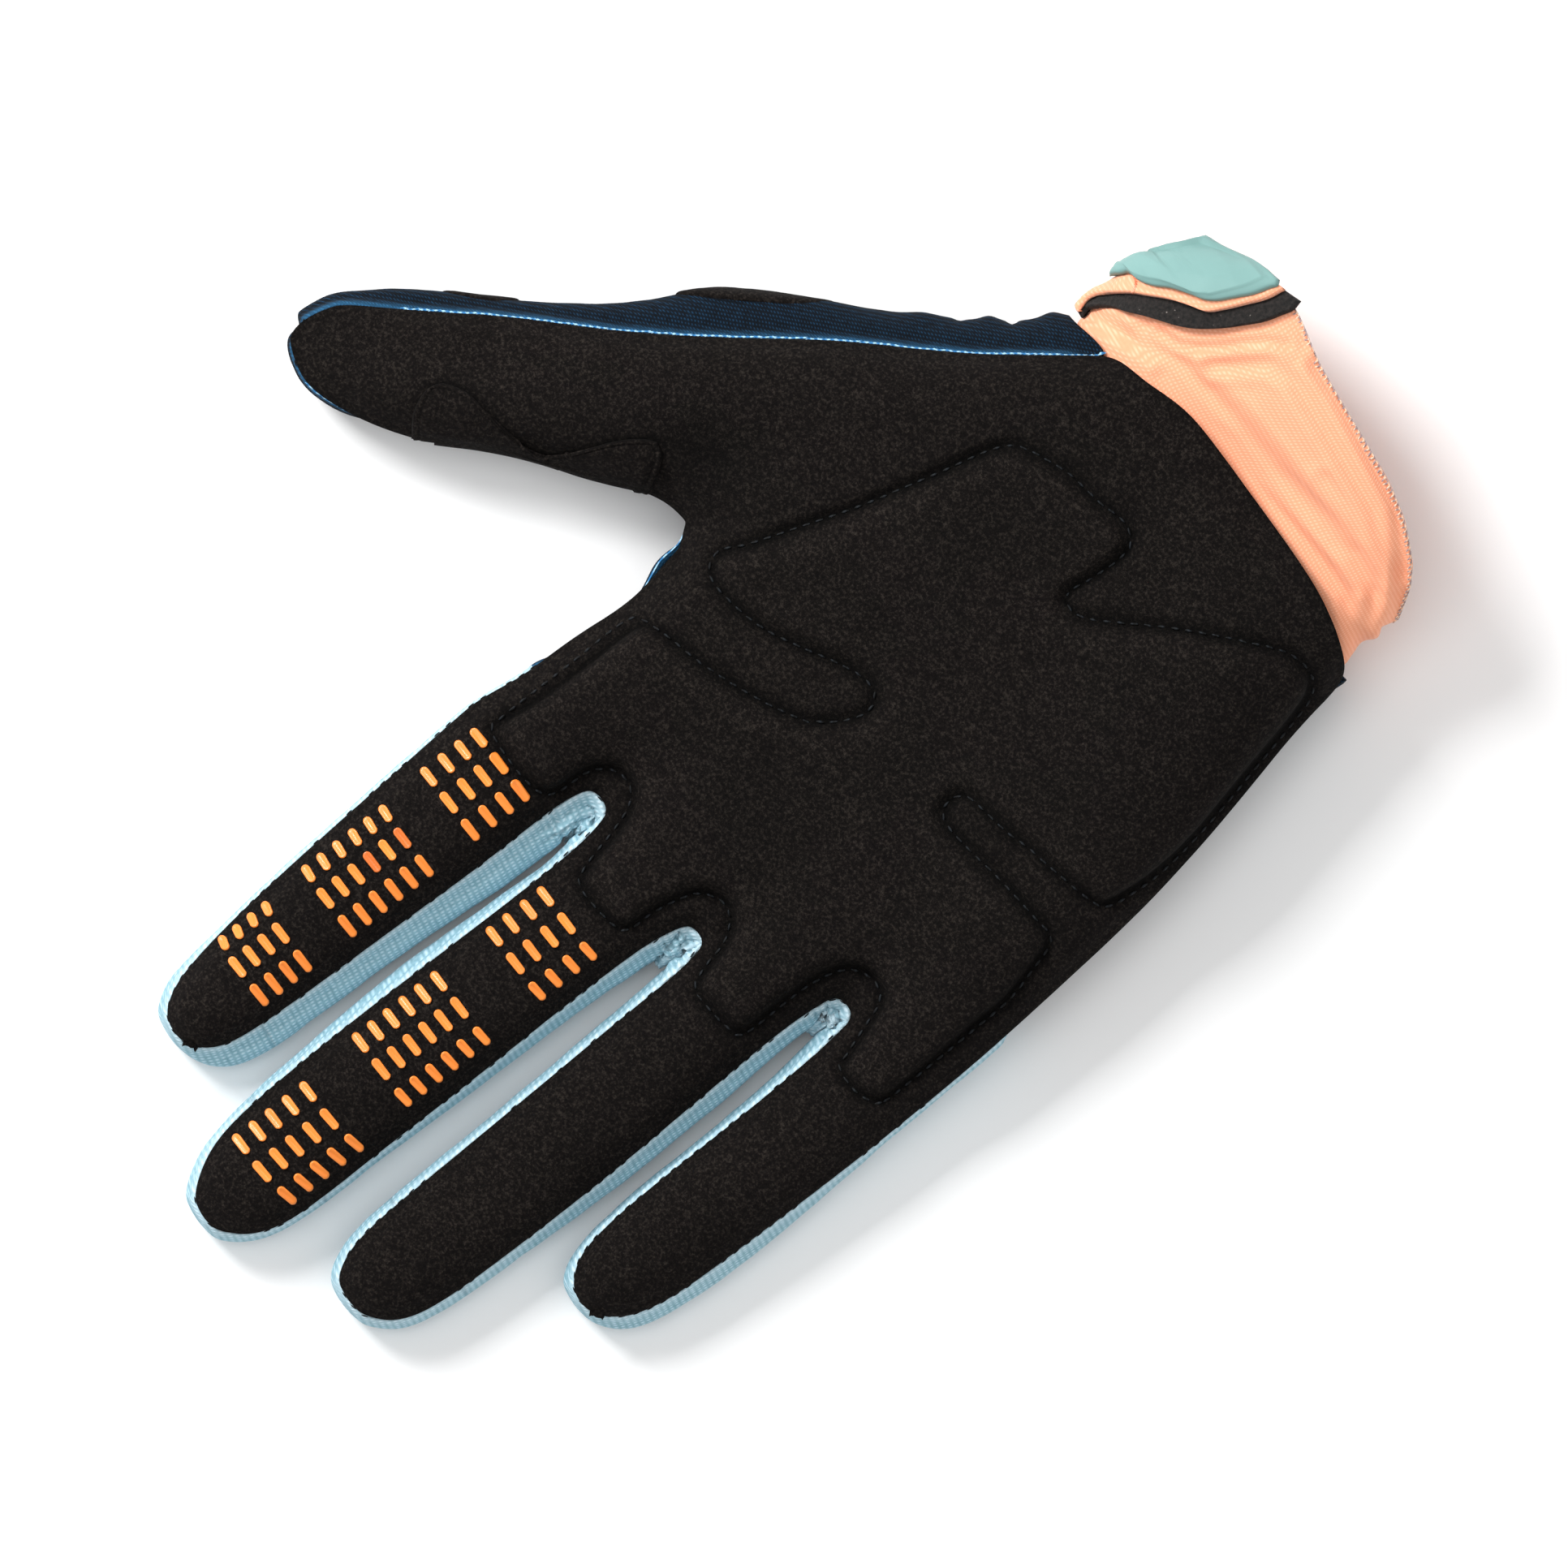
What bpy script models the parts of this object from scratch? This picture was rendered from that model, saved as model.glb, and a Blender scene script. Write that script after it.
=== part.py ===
"""A short cuff motocross glove for the right hand, lying on its back with the palm up.

The frame: +Y runs from the wrist to the fingertips, +X to the thumb, +Z up out of the palm.
The origin is the middle of the palm on the surface the glove rests on.  Lengths are metres.
"""

import math

import bmesh
import bpy
from mathutils import Vector
from mathutils.bvhtree import BVHTree

# Driving sizes
PALM_WIDTH = 0.105
PALM_LENGTH = 0.121
THUMB_LENGTH = 0.077
THUMB_WIDTH = 0.033
THUMB_ANGLE = math.radians(41.0)
CUFF_WIDTH = 0.0730
CUFF_HEIGHT = 0.0315
CUFF_LENGTH = 0.029
CUFF_MIDDLE = -0.055
CUFF_LIFT = 0.0030
STRAP_END = math.radians(-118.0)
HOOK_END = math.radians(-20.0)
TAB_END = math.radians(-34.0)
HOOK = 0.0010
CLOTH = 0.0013
SUEDE = 0.0012
PATCH = 0.0009
PAD = 0.0016
TAB = 0.0018
GAP = 0.00034

# Heights of the stuffed glove above the surface it rests on
PALM_TOP = 0.0285
FINGER_TOP = 0.0168
THUMB_TOP = 0.0225
SEAM = 0.0118

# Each finger: the centre across and the start along are shares of the palm's width and length
FINGERS = {
    "little": {"centre": -0.476, "start": 0.347, "width": 0.0180, "length": 0.0690},
    "ring": {"centre": -0.233, "start": 0.401, "width": 0.0190, "length": 0.0945},
    "middle": {"centre": 0.036, "start": 0.453, "width": 0.0205, "length": 0.0995},
    "index": {"centre": 0.319, "start": 0.442, "width": 0.0200, "length": 0.0848},
}

# Finger outlines: along is a share of the finger's length, the rest are shares of its width.
# left and right bound the front panel, outer_left and outer_right the whole finger.
FINGER_COLUMNS = ("along_left", "along_right", "left", "right", "outer_left", "outer_right")
FINGER_ROWS = {
    "little": (
        (0.000, 0.007, -0.506, 0.583, -0.550, 0.720),
        (0.145, 0.145, -0.517, 0.522, -0.565, 0.655),
        (0.362, 0.362, -0.517, 0.489, -0.617, 0.578),
        (0.609, 0.609, -0.500, 0.483, -0.644, 0.561),
        (0.812, 0.812, -0.472, 0.461, -0.606, 0.533),
        (0.942, 0.942, -0.350, 0.378, -0.489, 0.444),
        (1.000, 1.000, -0.139, 0.194, -0.222, 0.278),
    ),
    "ring": (
        (-0.063, 0.074, -0.526, 0.605, -0.640, 0.660),
        (0.037, 0.143, -0.468, 0.537, -0.600, 0.632),
        (0.238, 0.302, -0.489, 0.516, -0.658, 0.605),
        (0.471, 0.503, -0.532, 0.484, -0.679, 0.563),
        (0.714, 0.725, -0.532, 0.453, -0.632, 0.537),
        (0.926, 0.926, -0.479, 0.411, -0.563, 0.500),
        (1.000, 1.000, -0.211, 0.237, -0.263, 0.289),
    ),
    "middle": (
        (0.005, -0.005, -0.610, 0.585, -0.700, 0.560),
        (0.082, 0.072, -0.517, 0.502, -0.672, 0.546),
        (0.253, 0.253, -0.493, 0.488, -0.615, 0.580),
        (0.474, 0.474, -0.507, 0.502, -0.595, 0.634),
        (0.706, 0.706, -0.502, 0.498, -0.561, 0.585),
        (0.917, 0.907, -0.488, 0.429, -0.541, 0.488),
        (1.000, 0.997, -0.210, 0.156, -0.259, 0.229),
    ),
    "index": (
        (0.009, -0.029, -0.635, 0.595, -0.880, 0.620),
        (0.100, 0.077, -0.560, 0.590, -0.862, 0.610),
        (0.289, 0.265, -0.560, 0.540, -0.850, 0.575),
        (0.525, 0.513, -0.525, 0.475, -0.760, 0.515),
        (0.761, 0.749, -0.495, 0.395, -0.735, 0.435),
        (0.943, 0.932, -0.430, 0.270, -0.660, 0.340),
        (1.000, 0.996, -0.225, 0.100, -0.325, 0.175),
    ),
}

# Palm rows from the wrist up: x as shares of the palm's width, y of its length.
# bow lifts the row's middle along Y; the fifth row ends at the thumb's crotch.
PALM_COLUMNS = ("left_x", "left_y", "right_x", "right_y", "bow")
PALM_ROWS = (
    (-0.433, -0.512, 0.229, -0.533, -0.042),
    (-0.459, -0.388, 0.276, -0.364, -0.020),
    (-0.500, -0.231, 0.324, -0.198, 0.000),
    (-0.527, -0.083, 0.376, -0.033, 0.000),
    (-0.543, 0.066, 0.443, 0.103, 0.010),
    (-0.554, 0.182, 0.419, 0.223, 0.010),
    (-0.560, 0.273, 0.430, 0.331, 0.005),
)
CROTCH_ROW = 4

# Thumb rows from the palm out: along is a share of the thumb's length, across of its width.
# inner and outer bound the front panel, edge is the far side of the navy wall.
THUMB_COLUMNS = ("inner_along", "inner_across", "outer_along", "outer_across",
                 "edge_along", "edge_across")
THUMB_ROWS = (
    (0.000, 0.000, -0.877, 1.311, -0.754, 1.489),
    (0.047, 0.080, -0.732, 1.245, -0.614, 1.392),
    (0.114, 0.132, -0.569, 1.178, -0.509, 1.364),
    (0.213, 0.144, -0.399, 1.138, -0.331, 1.325),
    (0.338, 0.178, -0.231, 1.102, -0.141, 1.322),
    (0.469, 0.198, -0.048, 1.028, 0.045, 1.286),
    (0.615, 0.176, 0.130, 0.967, 0.209, 1.129),
    (0.742, 0.205, 0.318, 0.924, 0.399, 1.032),
    (0.853, 0.276, 0.499, 0.902, 0.588, 0.986),
    (0.935, 0.381, 0.674, 0.848, 0.763, 0.947),
    (0.980, 0.560, 0.880, 0.800, 0.905, 0.850),
)

# Soft dents and swells of the palm: x and half_x are shares of the palm's width,
# y and half_y of its length, depth of its height, turn in degrees.
DENT_COLUMNS = ("x", "y", "half_x", "half_y", "turn", "depth")
DENTS = (
    (-0.330, 0.050, 0.190, 0.026, 4.0, -0.055),
    (0.200, 0.090, 0.190, 0.026, 28.0, -0.055),
    (0.520, 0.000, 0.130, 0.030, 35.0, -0.070),
    (0.060, -0.160, 0.160, 0.120, 55.0, 0.050),
    (-0.250, -0.220, 0.130, 0.150, 20.0, 0.040),
    (0.000, 0.250, 0.330, 0.080, 0.0, 0.030),
    (0.170, -0.480, 0.200, 0.030, 20.0, -0.040),
)

# Patch on the thumb front: inner follows the sewn side, wave the raised free edge.
# along is a share of the thumb's length, the others of its width.
PATCH_COLUMNS = ("along", "inner", "wave")
PATCH_ROWS = (
    (0.105, 0.160, 0.300),
    (0.190, 0.185, 0.400),
    (0.270, 0.190, 0.375),
    (0.350, 0.215, 0.320),
    (0.440, 0.230, 0.265),
    (0.520, 0.240, 0.330),
    (0.590, 0.235, 0.400),
    (0.650, 0.250, 0.370),
)

# Cuff rim: turn is measured round the tube from the thumb side, reach shares the cuff's length
CUFF_COLUMNS = ("turn", "reach")
CUFF_RIM = (
    (0.0, 0.62),
    (15.0, 0.88),
    (30.0, 1.02),
    (60.0, 1.08),
    (90.0, 0.98),
    (120.0, 0.90),
    (150.0, 0.68),
    (180.0, 0.38),
    (230.0, 0.80),
    (270.0, 0.92),
    (310.0, 0.90),
    (360.0, 0.62),
)

# Wrist closure seen from the palm: rows from the hand to the rim as shares of the cuff's length;
# hook, strap and tab are the palm side edges, shares of the cuff's width from its middle.
CLOSURE_COLUMNS = ("along", "hook", "strap", "tab")
CLOSURE_ROWS = (
    (0.08, 0.541, 0.555, 0.600),
    (0.18, 0.500, 0.525, 0.560),
    (0.30, 0.433, 0.495, 0.530),
    (0.42, 0.351, 0.441, 0.494),
    (0.56, 0.297, 0.359, 0.399),
    (0.74, 0.261, 0.321, 0.340),
    (0.90, 0.235, 0.297, 0.314),
    (0.99, 0.227, 0.287, 0.303),
)

# Materials: colour, roughness
FINISHES = {
    "black_suede": ((0.012, 0.010, 0.009, 1.0), 0.95),
    "navy_mesh": ((0.008, 0.020, 0.045, 1.0), 0.85),
    "light_blue_knit": ((0.38, 0.60, 0.70, 1.0), 0.85),
    "peach_knit": ((0.95, 0.42, 0.24, 1.0), 0.85),
    "hook_tape": ((0.006, 0.005, 0.005, 1.0), 0.95),
    "mint_rubber": ((0.36, 0.57, 0.54, 1.0), 0.45),
}

ACROSS_FINGER = (0.0, 0.17, 0.5, 0.83, 1.0)
ROW_SPLIT = 2
WALL_STEPS = 4
CUFF_STEPS = 7
CUFF_AROUND = 32


def named(table, columns):
    """Give every row of a table its column names."""
    return [dict(zip(columns, row)) for row in table]


def smooth_rows(rows, split):
    """Put split - 1 rows between each pair along a smooth curve through all of them."""
    result = []
    last = len(rows) - 1
    for index in range(last):
        around = [rows[max(index - 1, 0)], rows[index], rows[index + 1],
                  rows[min(index + 2, last)]]
        for step in range(split):
            t = step / split
            row = {}
            for key in rows[0]:
                a, b, c, d = (item[key] for item in around)
                row[key] = 0.5 * (2 * b + (c - a) * t + (2 * a - 5 * b + 4 * c - d) * t * t
                                  + (3 * b - a - 3 * c + d) * t ** 3)
            result.append(row)
    result.append(dict(rows[last]))
    return result


def ease(t):
    """Smooth step between 0 and 1."""
    t = min(max(t, 0.0), 1.0)
    return t * t * (3 - 2 * t)


def table_value(rows, key, value, at):
    """Read one column of a table at a place between its rows."""
    for low, high in zip(rows, rows[1:]):
        if at <= high[key]:
            t = (at - low[key]) / (high[key] - low[key])
            return low[value] + (high[value] - low[value]) * min(max(t, 0.0), 1.0)
    return rows[-1][value]


def thumb_point(along, across):
    """A point of the thumb from its shares along and across, in the XY plane."""
    root = Vector((0.443 * PALM_WIDTH, 0.103 * PALM_LENGTH))
    axis = Vector((math.cos(THUMB_ANGLE), math.sin(THUMB_ANGLE)))
    side = Vector((axis.y, -axis.x))
    return root + axis * along * THUMB_LENGTH + side * across * THUMB_WIDTH


class Grid:
    """The shared layout of the glove's front panel and of its back.

    Each vertex has a key.  front holds the front panel's XY, back the back's XY.
    faces lists key quads with the limb they belong to.  rim lists the outline in order.
    """

    def __init__(self):
        self.front = {}
        self.back = {}
        self.faces = []
        self.rim = []

    def quad(self, limb, a, b, c, d):
        """Add one quad of keys that belongs to a limb."""
        self.faces.append((limb, (a, b, c, d)))

    def edge(self, part, key, outer, seam, top, round_off):
        """Add an outline vertex: its far XY, seam height, crown height and shoulder width."""
        self.rim.append({"part": part, "key": key, "outer": outer, "seam": seam,
                         "top": top, "round": round_off})


def finger_rows(name):
    """Front, outer and back XY pairs of one finger, from its base to its tip."""
    size = FINGERS[name]
    middle = size["centre"] * PALM_WIDTH
    start = size["start"] * PALM_LENGTH
    width = size["width"]
    length = size["length"]
    result = []
    for row in smooth_rows(named(FINGER_ROWS[name], FINGER_COLUMNS), ROW_SPLIT):
        tip = ease((row["along_left"] - 0.8) / 0.2)
        reach = 0.0013 * tip
        low = start + row["along_left"] * length
        high = start + row["along_right"] * length
        front = (Vector((middle + row["left"] * width, low)),
                 Vector((middle + row["right"] * width, high)))
        outer = (Vector((middle + row["outer_left"] * width, low + reach)),
                 Vector((middle + row["outer_right"] * width, high + reach)))
        centre = (outer[0] + outer[1]) / 2
        inset = 0.0035 * tip
        back = tuple(centre + (point - centre) * 0.62 - Vector((0, inset)) for point in outer)
        result.append({"front": front, "outer": outer, "back": back,
                       "along": row["along_left"]})
    return result


def build_grid():
    """Lay out the palm, the fingers and the thumb."""
    grid = Grid()
    names = list(FINGERS)
    fingers = {name: finger_rows(name) for name in names}

    # Columns of the palm at the finger bases
    base_front = []
    base_back = []
    for name in names:
        first = fingers[name][0]
        for share in ACROSS_FINGER:
            base_front.append(first["front"][0].lerp(first["front"][1], share))
            base_back.append(first["back"][0].lerp(first["back"][1], share))
    count = len(base_front)
    palm = smooth_rows(named(PALM_ROWS, PALM_COLUMNS), ROW_SPLIT)
    last = len(palm)
    crotch = CROTCH_ROW * ROW_SPLIT
    span = base_front[-1].x - base_front[0].x
    for row_index, row in enumerate(palm):
        t = row_index / last
        left = Vector((row["left_x"] * PALM_WIDTH, row["left_y"] * PALM_LENGTH))
        right = Vector((row["right_x"] * PALM_WIDTH, row["right_y"] * PALM_LENGTH))
        for column in range(count):
            base_share = (base_front[column].x - base_front[0].x) / span
            share = column / (count - 1)
            share += (base_share - share) * ease(t * 1.6)
            point = left.lerp(right, share)
            point.y += row["bow"] * PALM_LENGTH * (1 - abs(2 * share - 1) ** 4)
            level = base_front[0].lerp(base_front[-1], base_share).y
            point.y += (base_front[column].y - level) * t * t * t
            grid.front[("palm", row_index, column)] = point
            squeeze = left.lerp(right, 0.5 + (share - 0.5) * 0.82)
            if row_index <= crotch:
                squeeze = left.lerp(right, 0.09 + 0.91 * share)
            squeeze.y += point.y - left.lerp(right, share).y
            grid.back[("palm", row_index, column)] = squeeze
    for column in range(count):
        grid.front[("palm", last, column)] = base_front[column]
        grid.back[("palm", last, column)] = base_back[column]
    for row_index in range(last):
        for column in range(count - 1):
            grid.quad("hand", ("palm", row_index, column), ("palm", row_index, column + 1),
                      ("palm", row_index + 1, column + 1), ("palm", row_index + 1, column))

    # Thumb columns share the palm's right side from the wrist to the crotch
    thumb = smooth_rows(named(THUMB_ROWS, THUMB_COLUMNS), ROW_SPLIT)
    thumb_last = len(thumb) - 1

    def palm_key(row_index):
        return ("palm", row_index, count - 1)

    def thumb_key(row_index, column):
        return palm_key(column) if row_index == 0 else ("thumb", row_index, column)

    lengths = [0.0]
    for column in range(crotch):
        step = grid.front[palm_key(column + 1)] - grid.front[palm_key(column)]
        lengths.append(lengths[-1] + step.length)
    root_in = grid.front[palm_key(crotch)]
    root_out = grid.front[palm_key(0)]
    thumb_side = {}
    for row_index, row in enumerate(thumb):
        inner = thumb_point(row["inner_along"], row["inner_across"])
        outer = thumb_point(row["outer_along"], row["outer_across"])
        edge = thumb_point(row["edge_along"], row["edge_across"])
        share = row_index / thumb_last
        tip = ease((share - 0.75) / 0.25)
        out = (inner - outer).normalized()
        far_in = inner + out * 0.0008
        near, after = thumb[max(row_index - 1, 0)], thumb[min(row_index + 1, thumb_last)]
        run_in = (thumb_point(after["inner_along"], after["inner_across"])
                  - thumb_point(near["inner_along"], near["inner_across"])).normalized()
        run_out = (thumb_point(after["edge_along"], after["edge_across"])
                   - thumb_point(near["edge_along"], near["edge_across"])).normalized()
        inset = min(0.0056, 0.26 * (inner - edge).length)
        axis = Vector((math.cos(THUMB_ANGLE), math.sin(THUMB_ANGLE)))
        low_in = inner + Vector((run_in.y, -run_in.x)).lerp(-out - axis, tip) * inset
        low_out = edge + Vector((-run_out.y, run_out.x)).lerp(out - axis * 0.6, tip) * inset
        thumb_side[row_index] = (far_in, edge, share)
        if row_index == 0:
            grid.back[palm_key(0)] = edge - Vector((0.0058, 0.0004))
            continue
        for column in range(crotch + 1):
            place = lengths[column] / lengths[-1]
            bend = grid.front[palm_key(column)] - root_out.lerp(root_in, place)
            fade = max(0.0, 1 - 2.2 * share)
            even = column / crotch
            mixed = place + (even - place) * min(1.0, 2.0 * share)
            grid.front[("thumb", row_index, column)] = outer.lerp(inner, mixed) + bend * fade
            low = low_out.lerp(low_in, mixed)
            grid.back[("thumb", row_index, column)] = low + bend * fade * 0.8
    for row_index in range(thumb_last):
        for column in range(crotch):
            grid.quad("thumb", thumb_key(row_index, column), thumb_key(row_index + 1, column),
                      thumb_key(row_index + 1, column + 1), thumb_key(row_index, column + 1))

    # Finger strips
    for number, name in enumerate(names):
        first = number * len(ACROSS_FINGER)
        rows = fingers[name]

        def finger_key(row_index, column, name=name, first=first):
            if row_index == 0:
                return ("palm", last, first + column)
            return (name, row_index, column)

        for row_index, row in enumerate(rows):
            for column, share in enumerate(ACROSS_FINGER):
                if row_index:
                    key = finger_key(row_index, column)
                    tip = ease((row["along"] - 0.8) / 0.2)
                    swell = Vector((0, 0.0009 * tip * (1 - (2 * share - 1) ** 2)))
                    grid.front[key] = row["front"][0].lerp(row["front"][1], share) + swell
                    grid.back[key] = row["back"][0].lerp(row["back"][1], share) + swell
                if row_index + 1 < len(rows) and column + 1 < len(ACROSS_FINGER):
                    grid.quad(name, finger_key(row_index, column),
                              finger_key(row_index, column + 1),
                              finger_key(row_index + 1, column + 1),
                              finger_key(row_index + 1, column))

    # The outline from the wrist's little finger side round to its thumb side
    for row_index in range(last):
        t = row_index / last
        point = grid.front[("palm", row_index, 0)]
        grid.edge("hand_back", ("palm", row_index, 0), point - Vector((0.0008, 0)),
                  SEAM + 0.0035 * (1 - t) + 0.0015, PALM_TOP - 0.0075 * ease(t), 0.020)
    for number, name in enumerate(names):
        first = number * len(ACROSS_FINGER)
        rows = fingers[name]
        end = len(rows) - 1
        turn = end - 3
        sides = [(index, 0) for index in range(end)]
        sides += [(end, column) for column in range(len(ACROSS_FINGER))]
        sides += [(index, len(ACROSS_FINGER) - 1) for index in range(end - 1, -1, -1)]
        for row_index, column in sides:
            row = rows[row_index]
            key = (name, row_index, column)
            if row_index == 0:
                key = ("palm", last, first + column)
            share = ACROSS_FINGER[column]
            outer = row["outer"][0].lerp(row["outer"][1], share)
            if row_index == end:
                outer.y += 0.0010 * (1 - (2 * share - 1) ** 2)
            left = column == 0
            if row_index == 0 and not (number == 0 and left) and not (number == 3 and not left):
                other = fingers[names[number - 1 if left else number + 1]][0]
                mate = other["outer"][1 if left else 0]
                middle = (row["outer"][0 if left else 1].x + mate.x) / 2
                offset = 0.0006 if left else -0.0006
                outer = Vector((middle + offset, grid.front[key].y + 0.0048))
            part = name + "_back"
            if left and number and row_index < turn:
                part = "fourchette_%s_%s" % (name, names[number - 1])
            if number == 3 and not left and row_index == 0:
                part = "hand_back"
            if column == len(ACROSS_FINGER) - 1 and number < 3 and row_index <= turn:
                part = "fourchette_%s_%s" % (names[number + 1], name)
            along = max(row["along"], 0.0)
            grid.edge(part, key, outer, SEAM - 0.0030 * along, FINGER_TOP - 0.0030 * along, 0.0092)
    for row_index in range(last - 1, crotch, -1):
        point = grid.front[palm_key(row_index)]
        grid.edge("hand_back", palm_key(row_index), point + Vector((0.0009, 0)),
                  SEAM, PALM_TOP - 0.0085, 0.014)
    tip_row = thumb_last
    sides = [(index, crotch) for index in range(tip_row)]
    sides += [(tip_row, column) for column in range(crotch, -1, -1)]
    sides += [(index, 0) for index in range(tip_row - 1, -1, -1)]
    for row_index, column in sides:
        far_in, edge, share = thumb_side[row_index]
        key = thumb_key(row_index, column)
        at = 1 - column / crotch
        outer = far_in.lerp(edge, at)
        if row_index == tip_row:
            direction = Vector((0.754, 0.657))
            outer = outer + direction * 0.0026 * (1 - (2 * at - 1) ** 2)
            grid.front[key] = grid.front[key] + direction * 0.0020 * (1 - (2 * at - 1) ** 2)
        wrist = 1 - share
        seam_in = SEAM + 0.0005
        seam_out = SEAM + 0.0095 * wrist ** 0.8
        top = THUMB_TOP - 0.0085 * share ** 2
        top_out = top + 0.0050 * wrist
        grid.edge("thumb_back", key, outer, seam_in + (seam_out - seam_in) * at,
                  top + (top_out - top) * at, 0.010 + 0.006 * wrist)
    return grid


def outline_distance(point, chain):
    """Distance from a point to the outline, a list of XY points joined in order."""
    best = 1.0
    for a, b in zip(chain, chain[1:]):
        along = b - a
        size = along.length_squared
        t = 0.0 if size == 0 else min(max((point - a).dot(along) / size, 0.0), 1.0)
        best = min(best, (point - (a + along * t)).length)
    return best


def dent_height(point):
    """Height that the soft dents and swells add at a point."""
    total = 0.0
    for dent in named(DENTS, DENT_COLUMNS):
        turn = math.radians(dent["turn"])
        dx = point.x - dent["x"] * PALM_WIDTH
        dy = point.y - dent["y"] * PALM_LENGTH
        u = (dx * math.cos(turn) + dy * math.sin(turn)) / (dent["half_x"] * PALM_WIDTH)
        v = (dy * math.cos(turn) - dx * math.sin(turn)) / (dent["half_y"] * PALM_LENGTH)
        total += dent["depth"] * PALM_TOP * math.exp(-(u * u + v * v))
    return total


def front_heights(grid):
    """Height of every vertex of the front panel."""
    chain = [grid.front[item["key"]] for item in grid.rim]
    on_rim = {item["key"]: item["seam"] for item in grid.rim}
    heights = {}
    for key, point in grid.front.items():
        if key in on_rim:
            heights[key] = on_rim[key]
            continue
        weights = [1 / ((point - at).length_squared + 1e-6) ** 2 for at in chain]
        total = sum(weights)
        seam, top, shoulder = (
            sum(weight * item[name] for weight, item in zip(weights, grid.rim)) / total
            for name in ("seam", "top", "round"))
        share = min(outline_distance(point, chain) / shoulder, 1.0)
        swell = math.sqrt(1 - (1 - share) ** 2)
        heights[key] = seam + (top - seam) * swell + dent_height(point) * share
    return heights


def new_object(name, mesh, collection, material):
    """Link a mesh as a named object with one material."""
    item = bpy.data.objects.new(name, mesh)
    collection.objects.link(item)
    item.data.materials.append(material)
    return item


def sheet_mesh(name, points, faces):
    """A mesh from points and quads with its faces turned one way."""
    mesh = bpy.data.meshes.new(name)
    mesh.from_pydata([tuple(point) for point in points], [], faces)
    mesh.update()
    return mesh


def thicken(item, thickness, offset=-1.0):
    """Give an open sheet its thickness."""
    solid = item.modifiers.new("Thickness", "SOLIDIFY")
    solid.thickness = thickness
    solid.offset = offset
    solid.use_even_offset = False


def add_front(grid, heights, collection, material):
    """The front panel as one cut sheet."""
    keys = list(grid.front)
    number = {key: index for index, key in enumerate(keys)}
    points = [Vector((*grid.front[key], heights[key])) for key in keys]
    faces = []
    for _limb, quad in grid.faces:
        a, b, c, d = (points[number[key]] for key in quad)
        order = [number[key] for key in quad]
        if (c - a).cross(d - b).z < 0:
            order.reverse()
        faces.append(order)
    item = new_object("palm_panel", sheet_mesh("palm_panel", points, faces), collection, material)
    thicken(item, SUEDE)
    return item


def back_surface(grid):
    """Points and faces of the whole back: the flat rest area and the walls round it."""
    keys = list(grid.back)
    number = {key: index for index, key in enumerate(keys)}
    points = [Vector((*grid.back[key], 0.0)) for key in keys]
    faces = []
    for limb, quad in grid.faces:
        part = "hand_back" if limb == "hand" else limb + "_back"
        a, b, c, d = (points[number[key]] for key in quad)
        order = [number[key] for key in quad]
        if (c - a).cross(d - b).z > 0:
            order.reverse()
        faces.append((part, order))
    columns = []
    for item in grid.rim:
        seam = Vector((*grid.front[item["key"]], item["seam"] - SUEDE - GAP))
        low = points[number[item["key"]]]
        belly = Vector((*item["outer"], item["seam"] * 0.48))
        column = []
        for step in range(WALL_STEPS):
            angle = math.pi * step / WALL_STEPS
            if angle <= math.pi / 2:
                point = seam + (belly - seam) * math.sin(angle)
                point.z = belly.z + (seam.z - belly.z) * math.cos(angle)
            else:
                point = low + (belly - low) * math.sin(angle)
                point.z = belly.z * (1 + math.cos(angle))
            column.append(len(points))
            points.append(point)
        column.append(number[item["key"]])
        columns.append(column)
    for index in range(len(columns) - 1):
        left, right = columns[index], columns[index + 1]
        part = grid.rim[index]["part"]
        for step in range(WALL_STEPS):
            faces.append((part, [left[step], right[step], right[step + 1], left[step + 1]]))
    return points, faces, columns


def add_back_parts(grid, collection, materials):
    """Cut the back surface into its sewn pieces, each a shell with a gap to the next."""
    points, faces, columns = back_surface(grid)
    whole = bmesh.new()
    corners = [whole.verts.new(point) for point in points]
    made = [whole.faces.new([corners[index] for index in order]) for _part, order in faces]
    whole.normal_update()
    normals = [corner.normal.copy() for corner in corners]
    index_of = {corner: index for index, corner in enumerate(corners)}
    parts = {}
    for face, (part, _order) in zip(made, faces):
        parts.setdefault(part, []).append([index_of[vert] for vert in face.verts])
    whole.free()
    result = {}
    for part, quads in parts.items():
        material = materials["light_blue_knit"]
        if part in ("hand_back", "thumb_back"):
            material = materials["navy_mesh"]
        mesh = shell_mesh(part, points, normals, quads, CLOTH)
        result[part] = new_object(part, mesh, collection, material)
    return result, points, normals, columns


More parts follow.
